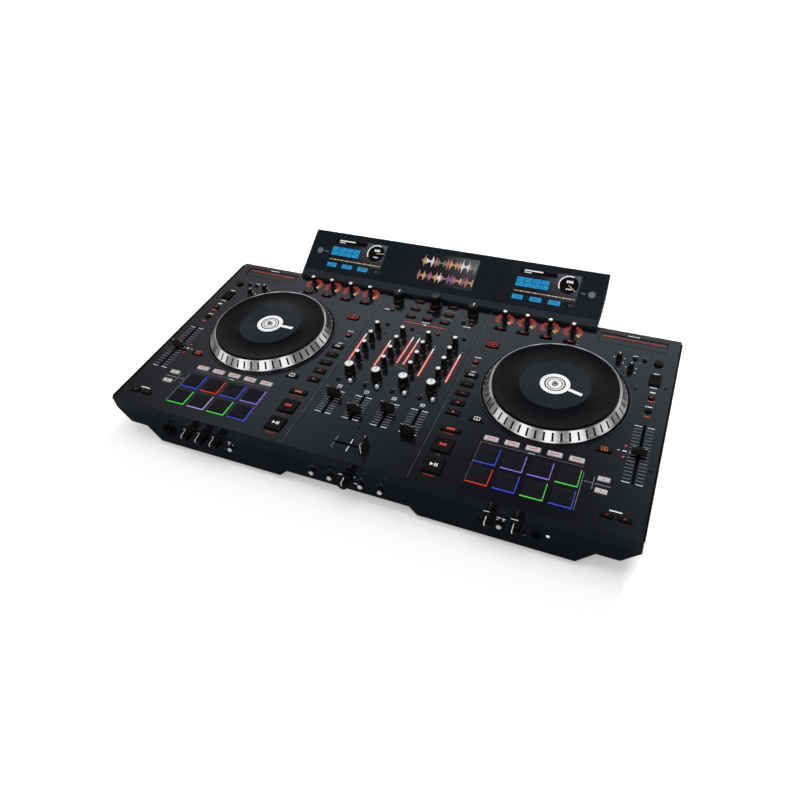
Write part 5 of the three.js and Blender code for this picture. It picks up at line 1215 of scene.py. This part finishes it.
jack_y = fascia_y(socket_z) - 1.2
microphone_x, phones_x = -289.4, 260.4
contact_turns = np.radians((90, 210, 330))
mic_ring = [(12.75, -1.0), (12.75, 0.1), (12.4, 0.4), (10.0, 0.4), (9.7, 0.1), (9.7, -1.0)]
mic_plug = [(9.5, -6.0), (9.5, -3.6), (3.6, -3.6), (3.4, -6.0)]
phone_ring = [(6.75, -1.0), (6.75, 0.1), (6.4, 0.4), (3.9, 0.4), (3.5, 0.1), (3.5, -1.0)]
jacks = []
for profile, around, x in ((mic_ring, 64, microphone_x), (mic_plug, 48, microphone_x), (phone_ring, 48, phones_x)):
    jacks.append(fitted(turned(profile, around, closed=True), -1, x, jack_y, socket_z))
put("front_jacks", jacks, key_gloss, "casing", "dark_shell", sharp=40)
contact = turned([(1.1, -3.7), (1.1, -3.4)], 12)
contacts = [fitted(moved(contact, 6.4 * math.cos(turn), 6.4 * math.sin(turn)), -1, microphone_x, jack_y, socket_z)
            for turn in contact_turns]
put("jack_contacts", contacts, steel, "casing", "dark_shell")

print_levels = [(-0.1, 0), (0.08, 0)]


def printed(x, height, wide, tall):
    """A small mark on the fascia."""
    return moved(slab(wide, tall, 0.12, print_levels, 2), x, height)


white = [printed(*place) for place in (
    (-292.4, -29.6, 3.6, 1.3), (-286.6, -29.6, 3.6, 1.3), (-183.0, -31.6, 4.2, 1.3), (-184.4, -35.4, 2.4, 1.0),
    (-177.6, -35.2, 2.4, 1.0), (212.6, -29.6, 5.0, 1.2), (219.0, -30.0, 4.4, 1.2), (211.0, -33.0, 2.4, 1.0),
    (218.6, -33.0, 2.4, 1.0), (196.4, -24.6, 7.2, 1.2), (232.0, -25.4, 9.0, 1.2), (-6.8, -32.0, 5.4, 1.3),
    (14.8, -30.6, 1.6, 1.3), (15.6, -41.6, 4.8, 1.1),
)]
oval = rounded(4.6, 4.2, 1.9)
white.append(moved(raised([(oval, height) for height, inset in print_levels]), 274.4, -38.0))
grey = []
for x in switch_xs[1:5]:
    grey += [printed(x + 8.4 * math.cos(turn), switch_z + 8.4 * math.sin(turn), 0.9, 0.9)
             for turn in np.radians(np.linspace(145, 35, 5))]
    grey.append(printed(x, switch_z + 10.6, 2.6, 0.9))
for x in front_knob_xs:
    grey.append(printed(x + 11.6, -46.4, 2.6, 1.0))
    grey += [printed(x + right, knob_z + up, 0.8, 0.8) for right, up in ((-9.4, -1.5), (-8.4, 4.0), (9.2, 2.0))]
round_hole, slit = turned([(2.6, -0.1), (2.6, 0.08)], 24), slab(4.2, 1.8, 0.4, print_levels, 3)
holes = [moved(round_hole, x, z) for x, z in ((-242.0, -42.0), (244.9, -42.4), (188.2, -42.6))]
holes += [moved(slit, x, z) for x, z in ((79.0, -34.4), (-99.5, -36.0), (281.0, -46.5))]
put("fascia_print_white", white, print_white_painted_glow, "casing", "dark_shell", place=on_fascia)
put("fascia_print_grey", grey, print_grey, "casing", "dark_shell", place=on_fascia)
put("fascia_holes", holes, slot_black, "casing", "dark_shell", place=on_fascia)

# The rear panel's fittings, seen from behind: two balanced outputs, phono sockets with coloured collars,
# two data sockets and the mains inlet. Their shells are pressed steel, their inserts moulded.
back_y = 375.9
shell_steel = moulding("shell_steel", (0.30, 0.305, 0.31), (0.40, 0.405, 0.41), 0.35, 0.3, 0.006, metallic=1.0)
collar_red = moulding("collar_red", (0.30, 0.012, 0.010), (0.36, 0.018, 0.014), 0.42, 0.5, 0.01)
collar_white = moulding("collar_white", (0.55, 0.55, 0.54), (0.64, 0.64, 0.63), 0.42, 0.5, 0.01)


def at_back(shape, x, z=socket_z):
    """The shape on the rear panel, facing out of it."""
    return fitted(shape, 1, x, back_y, z)


def frame_of(outer, inner, height, depth):
    """A shallow frame round an opening: outer and inner are outlines."""
    return raised([(outer, -0.5), (outer, height), (inner, height), (inner, depth)], True)


output_xs, data_xs, inlet_x = (-288.5, -256.5), (127.2, 151.2), 265.7
output_ring = turned([(11.7, -1.0), (11.7, 1.3), (11.3, 1.6), (10.0, 1.6), (9.5, 1.3), (9.5, -1.0)], 64, closed=True)
output_insert = turned([(9.2, -12.6), (9.2, -5.0), (8.6, -4.4), (1.0, -4.4)], 48)
output_pin = turned([(1.2, -4.5), (1.2, -1.6), (0.7, -1.0)], 12)
pins = [at_back(moved(output_pin, 4.4 * math.cos(turn), 4.4 * math.sin(turn)), x)
        for x in output_xs for turn in contact_turns]
put("output_rings", [at_back(output_ring, x) for x in output_xs], key_gloss, "casing", "dark_shell", sharp=40)
put("output_inserts", [at_back(output_insert, x) for x in output_xs], key_plastic, "casing", "dark_shell")
put("output_pins", pins, shell_steel, "casing", "dark_shell")
phono_xs, phono_zs = [-189.8 + 17 * column for column in range(4)], {"lower": -46.0, "upper": -36.0}
barrel = turned([(4.3, 0.2), (4.3, 8.7), (4.0, 9.05), (2.0, 9.1), (1.9, 4.0)], 32)
collar = turned([(4.9, 0.1), (4.9, 3.4), (4.6, 3.8), (4.35, 3.8), (4.35, 0.1)], 32, closed=True)
barrels = [at_back(barrel, x, z) for x in phono_xs for z in phono_zs.values()]
put("phono_barrels", barrels, shell_steel, "casing", "dark_shell")
for row, material in (("upper", collar_white), ("lower", collar_red)):
    collars = [at_back(collar, x, phono_zs[row]) for x in phono_xs]
    put(f"phono_collars_{row}", collars, material, "casing", "dark_shell")
data_frame = frame_of(rounded(13.4, 12.4, 1.0), rounded(8.2, 8.2, 0.6), 1.45, -6.0)
tongue = slab(5.4, 3.0, 0.3, [(-8.6, 0), (-0.8, 0)], 2)
inlet_frame = frame_of(rounded(30.4, 22.4, 2.0), rounded(23.8, 15.8, 2.5), 1.5, -11.0)
blade = slab(2.0, 5.6, 0.2, [(-13.0, 0), (-2.6, 0)], 2)
blades = [at_back(blade, inlet_x + x, socket_z + z) for x, z in ((-7, 0), (0, 2.2), (7, 0))]
for name, shapes, material in (
    ("data_socket_frames", [at_back(data_frame, x) for x in data_xs], shell_steel),
    ("data_socket_tongues", [at_back(tongue, x) for x in data_xs], collar_white),
    ("inlet_frame", [at_back(inlet_frame, inlet_x)], key_plastic), ("inlet_blades", blades, shell_steel),
):
    put(name, shapes, material, "casing", "dark_shell", sharp=30)

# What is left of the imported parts, which lies inside: the main board with its pots and tracks, and the two
# motors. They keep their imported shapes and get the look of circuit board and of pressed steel.
board_green = moulding("board_green", (0.0008, 0.0028, 0.0014), (0.0012, 0.004, 0.002), 0.5, 0.6, 0.01, 0.2)
motor_steel = moulding("motor_steel", (0.33, 0.335, 0.34), (0.43, 0.435, 0.44), 0.38, 0.4, 0.01, metallic=1.0)
for node, material in (("main_board", board_green), ("left_platter_motor", motor_steel),
                       ("right_platter_motor", motor_steel)):
    inner_mesh = frame["nodes"][node].data
    inner_mesh.materials.clear()
    inner_mesh.materials.append(material)
